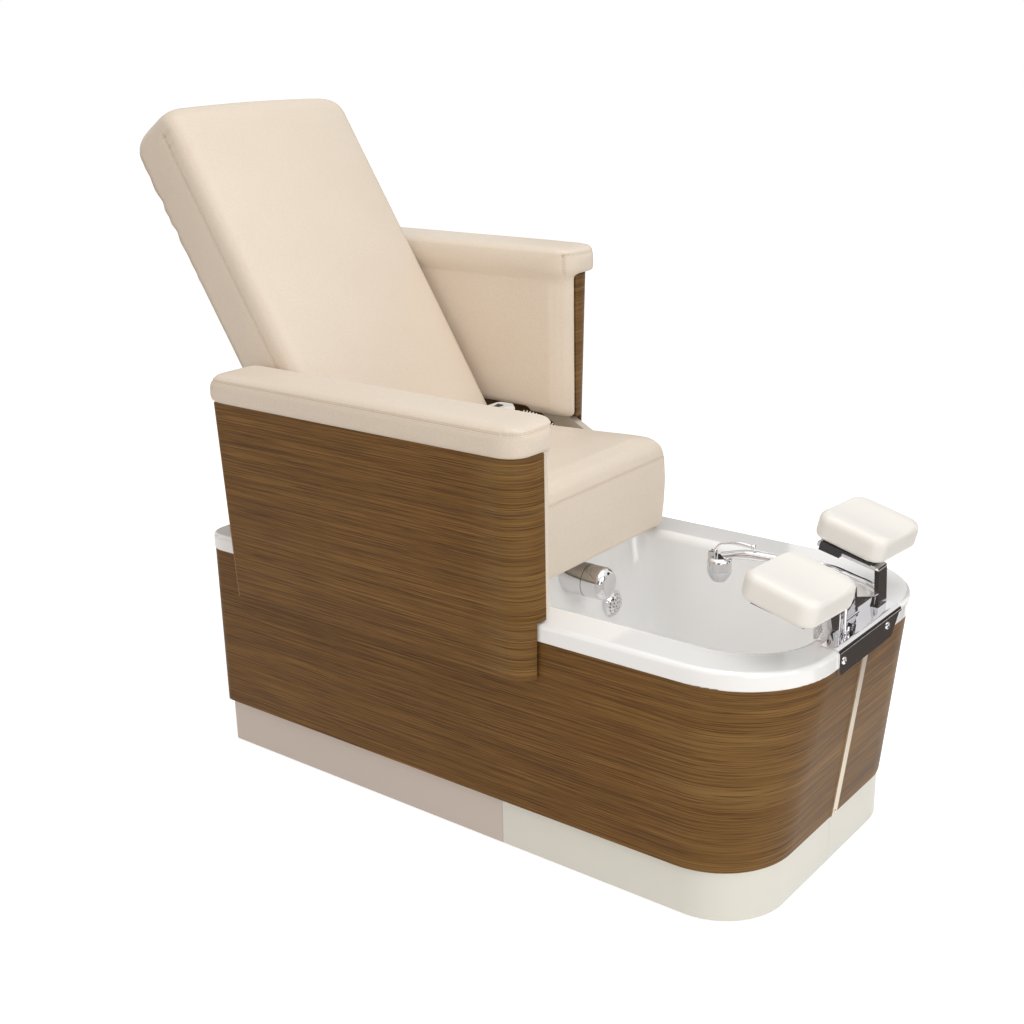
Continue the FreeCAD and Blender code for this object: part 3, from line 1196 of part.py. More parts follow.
def backrest_frame(grow=0.0):
    """Tube frame inside the backrest, with the pivot tube; grow gives its pocket."""
    size = 25.0
    inner = HINGE_PIN_RADIUS + RUNNING
    width = BACK_NOTCH_HALF_WIDTH - 6
    reach = width + 10 * math.copysign(1, grow) if grow else width
    pieces = [rod(17 + grow, V(0, -reach, 0), V(0, reach, 0))]
    half = size / 2 + grow
    for y in (-width + size, width - size):
        pieces.append(box(-half, half, y - half, y + half, 0, BACK_LENGTH - 110 + grow))
    for z in (200.0, 420.0, BACK_LENGTH - 122):
        pieces.append(box(-half, half, -width + size, width - size, z - half, z + half))
    frame = fuse(pieces)
    if grow > 0:
        return frame
    return frame.cut(rod(inner, V(0, -400, 0), V(0, 400, 0)))


def recline_crank():
    """Two slotted plates under the pivot tube, upright in the chair's frame."""
    plates = []
    for y in (CRANK_Y - 17, CRANK_Y + 11):
        plate = side_slab([(HINGE_X - 15, HINGE_Z + 2, 0), (HINGE_X + 15, HINGE_Z + 2, 0),
                           (HINGE_X + 15, HINGE_Z - CRANK_LENGTH - 22, 12),
                           (HINGE_X - 15, HINGE_Z - CRANK_LENGTH - 22, 12)], y, y + 6)
        slot = side_slab([(HINGE_X - 6.5, HINGE_Z - CRANK_LENGTH - 13, 6.4),
                          (HINGE_X + 6.5, HINGE_Z - CRANK_LENGTH - 13, 6.4),
                          (HINGE_X + 6.5, HINGE_Z - CRANK_LENGTH + 13, 6.4),
                          (HINGE_X - 6.5, HINGE_Z - CRANK_LENGTH + 13, 6.4)], y - 1, y + 7)
        plates.append(plate.cut(slot))
    bore = rod(HINGE_PIN_RADIUS + 2, V(HINGE_X, -100, HINGE_Z), V(HINGE_X, 200, HINGE_Z))
    return [plate.cut(bore) for plate in plates]


def recline_actuator():
    rear = RECLINE_TUBE_FRONT - 190
    body = rod(RECLINE_TUBE_RADIUS, V(rear, CRANK_Y, RECLINE_Z),
               V(RECLINE_TUBE_FRONT + 40, CRANK_Y, RECLINE_Z))
    bore = rod(RECLINE_ROD_RADIUS + RUNNING, V(rear - 1, CRANK_Y, RECLINE_Z),
               V(RECLINE_TUBE_FRONT + 20, CRANK_Y, RECLINE_Z))
    motor = rod(22, V(RECLINE_TUBE_FRONT + 15, CRANK_Y + 12, RECLINE_Z),
                V(RECLINE_TUBE_FRONT + 15, CRANK_Y + 120, RECLINE_Z))
    bar_half = RECLINE_BAR_WIDTH / 2
    lug = box(RECLINE_TUBE_FRONT - bar_half, RECLINE_TUBE_FRONT + bar_half, CRANK_Y - 14, CRANK_Y + 14,
              CARRIAGE_TOP + RECLINE_BAR_HEIGHT, RECLINE_Z)
    return fuse([body, motor, lug]).cut(bore)


def recline_rod():
    tip = HINGE_X + 14
    shaft = rod(RECLINE_ROD_RADIUS, V(tip - 4, CRANK_Y, RECLINE_Z),
                V(RECLINE_TUBE_FRONT - 60, CRANK_Y, RECLINE_Z))
    eye = rod(12, V(HINGE_X, CRANK_Y - 10, RECLINE_Z), V(HINGE_X, CRANK_Y + 10, RECLINE_Z))
    pin = rod(6, V(HINGE_X, CRANK_Y - 20, RECLINE_Z), V(HINGE_X, CRANK_Y + 20, RECLINE_Z))
    return fuse([shaft, eye, pin])


# Arms, built for the right side at negative y by mirroring the left

def arm_outer_y(z):
    return ARM_OUTER_BOTTOM + (z - ARM_BOTTOM) * ARM_FLARE


def arm_shell():
    def wire(z):
        outer = arm_outer_y(z)
        inner_end = ARM_RETURN_TOP_Y - 13
        corner = ARM_CORNER_RADIUS
        wall = ARM_SHELL
        corners = [(ARM_REAR, outer, 0), (ARM_REAR, outer - wall, 0),
                   (ARM_FRONT - wall, outer - wall, corner - wall), (ARM_FRONT - wall, inner_end, 0),
                   (ARM_FRONT, inner_end, 0), (ARM_FRONT, outer, corner)]
        return outline(corners, lambda a, b: V(a, b, z))

    shell = loft([wire(ARM_BOTTOM), wire(ARM_TOP)])
    far = 1000.0
    shell = shell.cut(box(-far, far, 0, ARM_RETURN_LOW_Y, 0, ARM_NOTCH))
    return shell.cut(box(-far, far, 0, ARM_RETURN_TOP_Y + SEAT_GAP, ARM_NOTCH - 1, far))


def arm_pad():
    board_y = ARM_PAD_OUTER - ARM_PAD_BOARD
    rear = ARM_REAR + 4
    front = ARM_FRONT
    top = ARM_TOP - SEAT_GAP
    def face(inset, y):
        low = ARM_PAD_BOTTOM + inset * 0.5
        nose_low = ARM_PAD_NOSE_BOTTOM + inset * 0.5
        corners = [(rear + inset, low, 16), (ARM_PAD_NOSE_X + inset * 0.5, low, 2),
                   (ARM_PAD_NOSE_X + inset * 0.5, nose_low, 2), (front - inset, nose_low, 16),
                   (front - inset, top, 4), (rear + inset, top, 4)]
        return outline(corners, lambda a, b: V(a, y, b))

    board = Part.Face(face(0, board_y)).extrude(V(0, ARM_PAD_BOARD, 0))
    wires = [face(1, board_y), face(ARM_PAD_BEVEL * 0.3, board_y - 12),
             face(ARM_PAD_BEVEL * 0.65, board_y - 20), face(ARM_PAD_BEVEL, ARM_PAD_INNER)]
    return board.fuse(loft(wires))


def arm_cap():
    """Padded roll over the arm, with rounded ends."""
    mid_y = (ARM_CAP_INNER + ARM_CAP_OUTER) / 2
    half = (ARM_CAP_OUTER - ARM_CAP_INNER) / 2
    height = ARM_CAP_HEIGHT
    end = 34.0

    def wire(x, scale):
        width = half * (0.72 + 0.28 * scale)
        top = ARM_TOP + height * (0.45 + 0.55 * scale)
        low = ARM_TOP + height * 0.14 * (1 - scale)
        radius = height * 0.42 * (0.35 + 0.65 * scale)
        corners = [(mid_y - width, low, radius * 0.3), (mid_y + width, low, radius * 0.3),
                   (mid_y + width, top, radius), (mid_y - width, top, radius)]
        return outline(corners, lambda a, b: V(x, a, b))

    wires = []
    for sine, cosine in quarter_steps(4):
        wires.append(wire(ARM_CAP_REAR + end * (1 - cosine), sine))
    for sine, cosine in quarter_steps(4):
        wires.append(wire(ARM_CAP_FRONT - end * (1 - sine), cosine))
    return loft(wires)


def along_guide(shape):
    """Moves a shape built along +X from the guide's low end onto the slope, up and back."""
    placed = shape.copy()
    placed.rotate(V(0, 0, 0), V(0, 1, 0), -(180 - ARM_SLOPE))
    placed.translate(V(GUIDE_START_X, 0, GUIDE_START_Z))
    return placed


def guide_point(distance):
    angle = math.radians(ARM_SLOPE)
    return GUIDE_START_X - distance * math.cos(angle), GUIDE_START_Z + distance * math.sin(angle)


def arm_rail():
    """Inclined steel channel, its web, and the foot screwed to the carriage plate."""
    half = GUIDE_HEIGHT / 2
    web_outer = GUIDE_INNER_Y + GUIDE_WALL
    channel = box(0, GUIDE_LENGTH, GUIDE_INNER_Y, GUIDE_OUTER_Y, -half, half)
    groove = box(-1, GUIDE_LENGTH + 1, web_outer, GUIDE_OUTER_Y + 1,
                 -half + GUIDE_WALL, half - GUIDE_WALL)
    channel = along_guide(channel.cut(groove))
    foot_z = CARRIAGE_TOP
    front_x = GUIDE_START_X - 10
    rear_x = GUIDE_FOOT_REAR
    rear_share = (GUIDE_START_X - rear_x) / math.cos(math.radians(ARM_SLOPE))
    gusset = side_slab([(front_x, foot_z, 0), (front_x, GUIDE_START_Z, 0),
                        (rear_x, guide_point(rear_share)[1], 0), (rear_x, foot_z, 0)],
                       GUIDE_INNER_Y, web_outer)
    foot = box(rear_x, front_x, SEAT_FRONT_HALF_WIDTH + 2, web_outer, foot_z, foot_z + 4)
    return fuse([channel, gusset, foot])


def arm_slider():
    """Block that runs in the channel, with the plate that carries the arm's shell."""
    half = GUIDE_HEIGHT / 2 - GUIDE_WALL - ROOM
    inner = GUIDE_INNER_Y + GUIDE_WALL + ROOM
    block = along_guide(box(4, 4 + SLIDER_LENGTH, inner, GUIDE_OUTER_Y + 2, -half, half))
    plate_inner = GUIDE_OUTER_Y + 1
    plate = along_guide(box(4, 4 + SLIDER_LENGTH, plate_inner, ARM_OUTER_TOP, -26, 26))
    far = 1000.0
    low, high = ARM_BOTTOM - 50, ARM_TOP
    face = ARM_SHELL + SEAT_GAP
    inside = outline([(0, low, 0), (arm_outer_y(low) - face, low, 0),
                      (arm_outer_y(high) - face, high, 0), (0, high, 0)], lambda a, b: V(-far, a, b))
    inside = Part.Face(inside).extrude(V(2 * far, 0, 0))
    return fuse([block, plate]).common(inside)


# Handset, rockers and curly cord

def handset_body():
    half_x, half_y = HANDSET_WIDTH / 2, HANDSET_LENGTH / 2
    top = HANDSET_BOTTOM + HANDSET_HEIGHT

    def wire(inset, z):
        corners = [(HANDSET_X - half_x + inset, HANDSET_Y - half_y + inset, 12),
                   (HANDSET_X + half_x - inset, HANDSET_Y - half_y + inset, 12),
                   (HANDSET_X + half_x - inset, HANDSET_Y + half_y - inset, 12),
                   (HANDSET_X - half_x + inset, HANDSET_Y + half_y - inset, 12)]
        return outline(corners, lambda a, b: V(a, b, z))

    body = loft([wire(4, HANDSET_BOTTOM), wire(0, HANDSET_BOTTOM + 8), wire(0, top - 8), wire(3, top)])
    pockets = [rocker_pocket(y) for y in ROCKER_YS]
    return cut(body, pockets)


def rocker_pocket(y):
    pocket = box(HANDSET_X - ROCKER_WIDTH / 2 - ROCKER_TILT_ROOM,
                 HANDSET_X + ROCKER_WIDTH / 2 + ROCKER_TILT_ROOM,
                 y - ROCKER_LENGTH / 2 - 1, y + ROCKER_LENGTH / 2 + 1,
                 HANDSET_BOTTOM + 12, HANDSET_BOTTOM + HANDSET_HEIGHT + 5)
    pin_hole = rod(1.5 + RUNNING, V(HANDSET_X - ROCKER_WIDTH / 2 - 3, y, ROCKER_PIVOT_Z),
                   V(HANDSET_X + ROCKER_WIDTH / 2 + 3, y, ROCKER_PIVOT_Z))
    return pocket.fuse(pin_hole)


def rocker(y):
    half = ROCKER_LENGTH / 2
    top = HANDSET_BOTTOM + HANDSET_HEIGHT + 2
    points = [V(0, y - half, top), V(0, y - half, ROCKER_PIVOT_Z - 2), V(0, y, ROCKER_PIVOT_Z - 3.5),
              V(0, y + half, ROCKER_PIVOT_Z - 2), V(0, y + half, top)]
    profile = [Part.makeLine(points[i], points[i + 1]) for i in range(4)]
    profile.append(Part.Arc(points[4], V(0, y, top - 2), points[0]).toShape())
    face = Part.Face(Part.Wire(profile))
    face.translate(V(HANDSET_X - ROCKER_WIDTH / 2, 0, 0))
    cap = face.extrude(V(ROCKER_WIDTH, 0, 0))
    pin = rod(1.5, V(HANDSET_X - ROCKER_WIDTH / 2 - 2.5, y, ROCKER_PIVOT_Z),
              V(HANDSET_X + ROCKER_WIDTH / 2 + 2.5, y, ROCKER_PIVOT_Z))
    return cap.fuse(pin)


def handset_cord():
    points = [V(*point) for point in CORD_POINTS]
    body, radii = tube(points, CORD_RADIUS)
    length = tube_path(points)[0].Length
    ratio = body.Volume / (math.pi * CORD_RADIUS ** 2 * length)
    print("cord radii", [round(radius, 1) for radius in radii], "length", round(length, 1),
          "volume ratio", round(ratio, 4))
    return body


def cord_gland():
    x, y, z = CORD_POINTS[-1]
    return rod(GLAND_TUBE_RADIUS, V(x, y, CARRIAGE_TOP), V(x, y, z - SEAT_GAP))


def gland_notch():
    x, y, z = CORD_POINTS[-1]
    return rod(GLAND_TUBE_RADIUS + SEAT_GAP, V(x, y, CARRIAGE_TOP - 1), V(x, y, z))


# Electrics

def control_box():
    floor = FRAME_BOTTOM + TUBE
    case = box(-560, -400, 100, 240, floor, floor + 90)
    case = case.makeFillet(6, edges_at(case, lambda p: p.z > floor + 1))
    shelf = box(FRAME_REAR + TUBE, -360, 90, FRAME_HALF_WIDTH - TUBE, floor - 3, floor)
    return case, shelf


def mains_gland():
    inner = V(PLINTH_REAR + 26, GLAND_Y, GLAND_Z)
    barrel = rod(GLAND_RADIUS, V(PLINTH_REAR - 12, GLAND_Y, GLAND_Z), inner)
    flange = rod(GLAND_RADIUS + 5, V(PLINTH_REAR - 6, GLAND_Y, GLAND_Z), V(PLINTH_REAR, GLAND_Y, GLAND_Z))
    bore = rod(4.5, V(PLINTH_REAR - 13, GLAND_Y, GLAND_Z), V(PLINTH_REAR + 27, GLAND_Y, GLAND_Z))
    return fuse([barrel, flange]).cut(bore)


def raised(shape):
    """Left arm's rest place: at the upper end of its guide."""
    angle = math.radians(ARM_SLOPE)
    return shifted(shape, -ARM_TRAVEL * math.cos(angle), 0, ARM_TRAVEL * math.sin(angle))


def build():
    nodes = {}
    nodes["base_frame"] = base_frame()
    nodes["levelling_feet"] = levelling_feet()
    rear, right, left = plinth_panels()
    nodes["plinth_rear"] = rear
    nodes["plinth_front_right"] = right
    nodes["plinth_front_left"] = left
    nodes["skirt_right"], nodes["skirt_left"] = skirt_shells()
    nodes["front_trim"] = front_trim()
    nodes["front_screws"] = front_screws()
    nodes["tub"] = tub()
    nodes["drain_waste"] = drain_waste()
    nodes["drain_plug"] = drain_plug()
    nodes["trap_pipe"] = trap_pipe()
    nodes["supply_pipes"] = supply_pipes()
    nodes["mixer_body"], nodes["mixer_knob"] = mixer_parts()
    cover, motor, nodes["jet_impeller"] = jet_parts()
    nodes["jet_cover"] = cover.cut(nodes["tub"])
    nodes["jet_motor"] = motor.cut(nodes["tub"])
    nodes["spout_base"] = spout_base(nodes["tub"])
    nodes["spout_arm"] = spout_arm()
    nodes["spout_lever"] = spout_lever()
    nodes["spout_shade"] = spout_shade()
    nodes["footrest_bracket"] = footrest_bracket()
    for name, x, y, foot_y, head_y, head_x in (
            ("right", RIGHT_PAD_X, -PAD_Y, RIGHT_BAR_FOOT_Y, RIGHT_BAR_HEAD_Y, RIGHT_BAR_HEAD_X),
            ("left", LEFT_PAD_X, PAD_Y, LEFT_BAR_FOOT_Y, LEFT_BAR_HEAD_Y, LEFT_BAR_HEAD_X)):
        nodes["footrest_post_" + name] = footrest_post(x, y, foot_y, head_y, head_x)
        nodes["footrest_plate_" + name] = footrest_plate(x, y, head_y)
        nodes["footrest_pad_" + name] = pad_frame(footrest_pad(), x, y)
    nodes["slide_rails"] = slide_rails()
    nodes["slide_actuator"] = slide_actuator()
    case, shelf = control_box()
    nodes["control_box"] = case.fuse(shelf)
    nodes["mains_gland"] = mains_gland()
    nodes["carriage_plate"] = carriage_plate()
    nodes["slide_blocks"] = slide_blocks()
    nodes["slide_rod"] = slide_rod()
    nodes["seat_frame"] = seat_frame()
    nodes["seat_board"] = seat_board()
    nodes["seat_cushion"] = seat_cushion()
    nodes["hinge_pins"] = hinge_pins()
    nodes["recline_actuator"] = recline_actuator()
    nodes["recline_rod"] = recline_rod()
    nodes["backrest_frame"] = fuse([leaned(backrest_frame())] + recline_crank())
    nodes["backrest_cushion"] = backrest_cushion(backrest_frame(SEAT_GAP))
    for name, maker in (("shell", arm_shell), ("pad", arm_pad), ("cap", arm_cap),
                        ("slider", arm_slider)):
        left_low = maker()
        nodes["arm_" + name + "_right"] = mirrored(left_low)
        nodes["arm_" + name + "_left"] = raised(left_low)
    nodes["arm_rail_left"] = arm_rail().cut(gland_notch())
    nodes["arm_rail_right"] = mirrored(arm_rail())
    nodes["handset_body"] = handset_body()
    nodes["recline_rocker"] = rocker(ROCKER_YS[0])
    nodes["slide_rocker"] = rocker(ROCKER_YS[1])
    nodes["handset_cord"] = handset_cord()
    nodes["cord_gland"] = cord_gland()
    return nodes


def write(nodes):
    os.makedirs("parts", exist_ok=True)
    for name, shape in nodes.items():
        state = "ok" if shape.isValid() else "INVALID"
        print(name, state, "solids", len(shape.Solids), "volume", round(shape.Volume))
        shape.exportStep("parts/" + name + ".step")
    print("nodes", len(nodes))


write(build())
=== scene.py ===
"""Looks for the pedicure spa chair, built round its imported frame."""

import json
import math

import bmesh
import bpy
import numpy as np
from mathutils import Matrix, Vector
from mathutils.bvhtree import BVHTree


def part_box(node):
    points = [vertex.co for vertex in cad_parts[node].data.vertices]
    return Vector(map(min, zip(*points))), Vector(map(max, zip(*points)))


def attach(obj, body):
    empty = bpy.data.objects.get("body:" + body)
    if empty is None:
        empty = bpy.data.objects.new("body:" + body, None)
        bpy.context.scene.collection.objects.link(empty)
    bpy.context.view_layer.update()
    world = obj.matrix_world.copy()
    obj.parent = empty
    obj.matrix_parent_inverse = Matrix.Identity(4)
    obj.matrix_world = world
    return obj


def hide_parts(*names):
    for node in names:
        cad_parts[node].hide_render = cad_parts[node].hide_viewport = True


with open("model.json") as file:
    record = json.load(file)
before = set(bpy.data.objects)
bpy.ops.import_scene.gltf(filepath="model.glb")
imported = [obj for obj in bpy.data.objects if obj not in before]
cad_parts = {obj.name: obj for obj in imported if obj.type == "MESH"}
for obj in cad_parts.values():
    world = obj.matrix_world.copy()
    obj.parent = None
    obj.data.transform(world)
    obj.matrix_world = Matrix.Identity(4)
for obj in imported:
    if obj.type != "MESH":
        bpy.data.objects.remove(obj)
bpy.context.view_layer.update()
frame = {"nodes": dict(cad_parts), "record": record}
scene = bpy.context.scene
NODES = frame["nodes"]

# The back leans by BACK_ANGLE round HINGE; the left arm stands ARM_SHIFT from the right one.
BACK_ANGLE = math.radians(32.4)
BACK_OUT = (math.cos(BACK_ANGLE), 0.0, math.sin(BACK_ANGLE))
HINGE = Vector((-0.3955, 0.0, 0.6511))
ARM_SHIFT = Vector((-0.3590, 0.0, 0.1891))
MIRROR = np.array([1, -1, 1])

CORD_POINTS = [(-0.2587, 0.236, 0.691), (-0.230, 0.236, 0.691), (-0.203, 0.249, 0.684),
               (-0.170, 0.2555, 0.667), (-0.130, 0.2555, 0.638), (-0.092, 0.2555, 0.604),
               (-0.058, 0.2555, 0.572), (-0.034, 0.2555, 0.542), (-0.034, 0.2555, 0.512)]
WIRE_RADIUS = 0.0012
CURL_RADIUS = 0.0048
CURL_PITCH = 0.007
CURL_STEPS = 14
CURL_LEAD = 0.006        # straight bit at either end of the cord
CURL_OPENING = 0.026     # length in which the curls reach their full width

CREAM = (0.790, 0.690, 0.575)
CREAM_DEEP = (0.755, 0.650, 0.532)
WALNUT_DARK = (0.052, 0.021, 0.0040)
WALNUT_MID = (0.158, 0.072, 0.0145)
WALNUT_LIGHT = (0.310, 0.168, 0.050)
# Pale golden walnut for the painted highlight on the veneer's bends.
WALNUT_PAINTED_HIGHLIGHT = (0.33, 0.215, 0.085, 1)
# Light walnut for the painted highlight along the arm shell's rear edge.
WALNUT_EDGE_HIGHLIGHT = (0.33, 0.2, 0.1, 1)

# Where along X the painted highlight on the veneer's bend starts, is at its brightest (from, to)
# and has faded again.
SKIRT_HIGHLIGHT_SPAN = (0.42, 0.56, 0.64, 0.70)
ARM_HIGHLIGHT_SPAN = (0.11, 0.16, 0.19, 0.24)
# X behind which the arm shell's rounded rear edge gets its painted highlight.
ARM_HIGHLIGHT_EDGE = -0.5355

# Widths that the soft skins are held to, just inside their solids.
BACK_HALF_WIDTH = 0.2575
SEAT_HALF_WIDTH = 0.261
ARM_PANEL = (-0.3005, -0.2622)
ARM_PANEL_TOP = 0.795

BACK_FRONT_SEAM = 0.033  # in front of the back's middle plane
BACK_REAR_SEAM = 0.062   # behind it
GATHERS = ((0.745, 0.0032), (0.722, 0.0022), (0.70, 0.0012))    # height up the back, depth

CAP_SECTION = 0.034      # from the cap's front end to its last full section
CAP_ROUND = 0.060        # how far back the cap's round end reaches

# A stitch from end to end: place along it, thickness, height over the skin.
STITCH_SECTIONS = ((-0.5, 0.35, -0.25), (-0.3, 0.95, 0.5), (0.0, 1.0, 0.75),
                   (0.3, 0.95, 0.5), (0.5, 0.35, -0.25))


# Camera, lamps and floor

def link(name, data):
    made = bpy.data.objects.new(name, data)
    scene.collection.objects.link(made)
    return made


def facing(place, target, axis):
    return (Vector(target) - Vector(place)).to_track_quat(axis, "Y").to_euler()


def feed(tree, socket, value):
    """Links a socket to another one's output, or sets its value."""
    if isinstance(value, bpy.types.NodeSocket):
        tree.links.new(value, socket)
    else:
        socket.default_value = value


def calculate(tree, operation, first, second):
    made = tree.nodes.new("ShaderNodeMath")
    made.operation = operation
    feed(tree, made.inputs[0], first)
    feed(tree, made.inputs[1], second)
    return made.outputs[0]


def plain_material(name, colour, roughness):
    material = bpy.data.materials.new(name)
    material.use_nodes = True
    shader = material.node_tree.nodes["Principled BSDF"]
    shader.inputs["Base Color"].default_value = (*colour, 1)
    shader.inputs["Roughness"].default_value = roughness
    return material, shader


def add_camera():
    data = bpy.data.cameras.new("camera")
    camera = link("camera", data)
    data.lens = 51.18
    data.sensor_width = 36.0
    right = Vector((0.79136, 0.61099, -0.02062))
    up = Vector((-0.17857, 0.26329, 0.94805))
    back = Vector((0.58471, -0.74657, 0.31747))
    turn = Matrix((right, up, back)).transposed().to_4x4()
    camera.matrix_world = Matrix.Translation((1.65915, -2.229, 1.5)) @ turn
    scene.camera = camera


def add_lamp(name, place, target, width, height, power, colour=(1, 1, 1)):
    data = bpy.data.lights.new(name, "AREA")
    data.shape = "RECTANGLE"
    data.size = width
    data.size_y = height
    data.energy = power
    data.color = colour
    lamp = link(name, data)
    lamp.location = place
    lamp.rotation_euler = facing(place, target, "-Z")
    return lamp


def flat_board(name, place, target, width, height, material):
    """A plain rectangle that faces a point."""
    mesh = bpy.data.meshes.new(name)
    x, y = width / 2, height / 2
    mesh.from_pydata([(-x, -y, 0), (x, -y, 0), (x, y, 0), (-x, y, 0)], [], [(0, 1, 2, 3)])
    board = link(name, mesh)
    board.location = place
    board.rotation_euler = facing(place, target, "Z")
    mesh.materials.append(material)
    return board


def add_world():
    """Soft light from all round, with a background that is seen as white."""
    world = bpy.data.worlds.new("studio")
    scene.world = world
    world.use_nodes = True
    tree = world.node_tree
    tree.nodes.clear()
    out = tree.nodes.new("ShaderNodeOutputWorld")
    mix = tree.nodes.new("ShaderNodeMixShader")
    for socket, colour, strength in ((1, (1.0, 0.985, 0.965, 1), 0.50), (2, (1, 1, 1, 1), 1.0)):
        light = tree.nodes.new("ShaderNodeBackground")
        light.inputs["Color"].default_value = colour
        light.inputs["Strength"].default_value = strength
        tree.links.new(light.outputs[0], mix.inputs[socket])
    rays = tree.nodes.new("ShaderNodeLightPath").outputs
    seen = calculate(tree, "MAXIMUM", rays["Is Camera Ray"], rays["Is Transmission Ray"])
    seen = calculate(tree, "MAXIMUM", seen, rays["Is Glossy Ray"])
    tree.links.new(seen, mix.inputs[0])
    tree.links.new(mix.outputs[0], out.inputs["Surface"])


def add_floor():
    """White floor that glows a little where it is seen."""
    material, shader = plain_material("floor", (0.72, 0.70, 0.68), 0.9)
    shader.inputs["Specular IOR Level"].default_value = 0.1
    shader.inputs["Emission Color"].default_value = (1, 1, 1, 1)
    tree = material.node_tree
    rays = tree.nodes.new("ShaderNodeLightPath").outputs
    seen = calculate(tree, "MAXIMUM", rays["Is Camera Ray"], rays["Is Glossy Ray"])
    glow = calculate(tree, "MULTIPLY", seen, 0.72)
    tree.links.new(glow, shader.inputs["Emission Strength"])
    flat_board("floor", (0, 0, -0.0005), (0, 0, 1), 60, 60, material)


def add_lamps():
    add_lamp("overhead", (0.5, -0.25, 3.4), (0.1, 0, 0.4), 2.8, 2.8, 41)
    add_lamp("front", (3.6, -0.9, 1.9), (0.2, 0, 0.6), 2.2, 1.8, 36)
    inside = add_lamp("basin", (0.42, 0.0, 0.60), (0.42, 0.0, 0), 0.3, 0.3, 0.17)
    inside.visible_camera = False
    inside.visible_glossy = False
    add_lamp("strip", (2.3, -1.8, 0.6), (0.4, -0.2, 0.4), 0.6, 1.1, 7)
    add_lamp("side", (-0.8, -3.6, 1.7), (0, 0, 0.6), 2.6, 1.8, 14, (1.0, 0.85, 0.76))


def wall_of_cards(count=10, radius=4.0, tall=2.6, middle=1.35):
    """Upright cards round the piece with gaps between them."""
    width = 2 * radius * math.tan(math.pi / count / 2)
    for k in range(count):
        turn = 2 * math.pi * (k + 0.3) / count
        place = (radius * math.cos(turn), radius * math.sin(turn), middle)
        yield f"card_{k}", place, (0, 0, middle), width, tall


def add_cards():
    """Dark cards for the metal to reflect, which throw no shadow."""
    dark, _ = plain_material("dark_card", (0.05, 0.038, 0.032), 0.8)
    for name, place, target, width, height in (
            ("card_front", (3.0, -1.3, 0.62), (0.6, 0, 0.6), 1.5, 1.1),
            ("card_side", (1.3, -3.4, 0.9), (0.6, 0, 0.6), 0.7, 1.6),
            ("card_low", (1.6, 1.35, 0.03), (1.6, 1.35, 1), 1.3, 2.2),
            *wall_of_cards()):
        card = flat_board(name, place, target, width, height, dark)
        card.visible_camera = False
        card.visible_diffuse = False
        card.visible_shadow = False


# Materials

class Look:
    """A node material with the textures' own coordinates, fixed to the piece at rest."""

    def __init__(self, name, colour, rough, metallic=0.0, **sockets):
        self.name = name
        self.material, self.shader = plain_material(name, colour, rough)
        self.tree = self.material.node_tree
        self.set("Metallic", metallic)
        for socket, value in sockets.items():
            self.set(socket.replace("_", " "), value)
        self.place = self.node("ShaderNodeTexCoord").outputs["Object"]
        self.height = None

    def set(self, socket, value):
        feed(self.tree, self.shader.inputs[socket], value)

    def node(self, kind, inputs=None, **values):
        """A new node with the given properties, and its inputs set or linked."""
        made = self.tree.nodes.new(kind)
        for name, value in values.items():
            setattr(made, name, value)
        for socket, value in (inputs or {}).items():
            feed(self.tree, made.inputs[socket], value)
        return made

    def noise(self, scale, stretch=(1, 1, 1), detail=3.0, rough=0.5, distortion=0.0):
        mapping = self.node("ShaderNodeMapping", {"Scale": stretch, "Vector": self.place})
        made = self.node("ShaderNodeTexNoise", {
            "Scale": scale, "Detail": detail, "Roughness": rough, "Distortion": distortion,
            "Vector": mapping.outputs[0]})
        return made.outputs[0]

    def cells(self, scale):
        made = self.node("ShaderNodeTexVoronoi", {"Scale": scale, "Vector": self.place})
        return made.outputs["Distance"]

    def ramp(self, value, stops):
        made = self.node("ShaderNodeValToRGB", {0: value})
        points = made.color_ramp.elements
        while len(points) < len(stops):
            points.new(0.5)
        for point, (place, colour) in zip(points, stops):
            point.position = place
            point.color = (*colour, 1)
        return made.outputs[0]

    def spread(self, value, low, high, start=0.3, end=0.7):
        made = self.node("ShaderNodeMapRange", {
            "From Min": start, "From Max": end, "To Min": low, "To Max": high, "Value": value})
        return made.outputs[0]

    def blend(self, kind, share, first, second):
        made = self.node("ShaderNodeMix", {0: share, 6: first, 7: second},
                         data_type="RGBA", blend_type=kind)
        return made.outputs[2]

    def product(self, first, second):
        return calculate(self.tree, "MULTIPLY", first, second)

    def colour(self, socket):
        self.set("Base Color", socket)

    def roughness(self, socket):
        self.set("Roughness", socket)

    def bump(self, height, distance, strength=1.0):
        made = self.node("ShaderNodeBump", {
            "Distance": distance, "Strength": strength, "Height": height})
        if self.height is not None:
            feed(self.tree, made.inputs["Normal"], self.height)
        self.height = made.outputs[0]
        self.set("Normal", self.height)


def mixed(a, b, share):
    return tuple(p + (q - p) * share for p, q in zip(a, b))


def tinted(colour, tint):
    return tuple(c * tint for c in colour)


def moulded(name, colour, rough, spread=0.05, grain=900.0, depth=0.00008, tint=0.94, **sockets):
    """Plastic, lacquer or rubber: faint cloudiness, uneven gloss, fine surface grain."""
    look = Look(name, colour, rough, **sockets)
    cloud = look.noise(7.0, detail=4.0)
    look.colour(look.ramp(cloud, [(0.3, tinted(colour, tint)), (0.7, colour)]))
    look.roughness(look.spread(look.noise(24.0, detail=5.0), rough - spread, rough + spread))
    look.bump(look.noise(grain, detail=2.0), depth)
    return look


def metal(name, colour, rough, spread=0.04, brushed=(1, 1, 1)):
    """Metal with faint smears in its polish and fine rubbing marks."""
    look = Look(name, colour, rough, 1.0)
    cloud = look.noise(11.0, detail=4.0)
    look.colour(look.ramp(cloud, [(0.3, tinted(colour, 0.93)), (0.7, colour)]))
    smear = look.noise(34.0, stretch=brushed, detail=6.0, rough=0.65)
    look.roughness(look.spread(smear, max(0.02, rough - spread), rough + spread))
    look.bump(look.noise(420.0, stretch=brushed, detail=3.0), 0.00003)
    return look


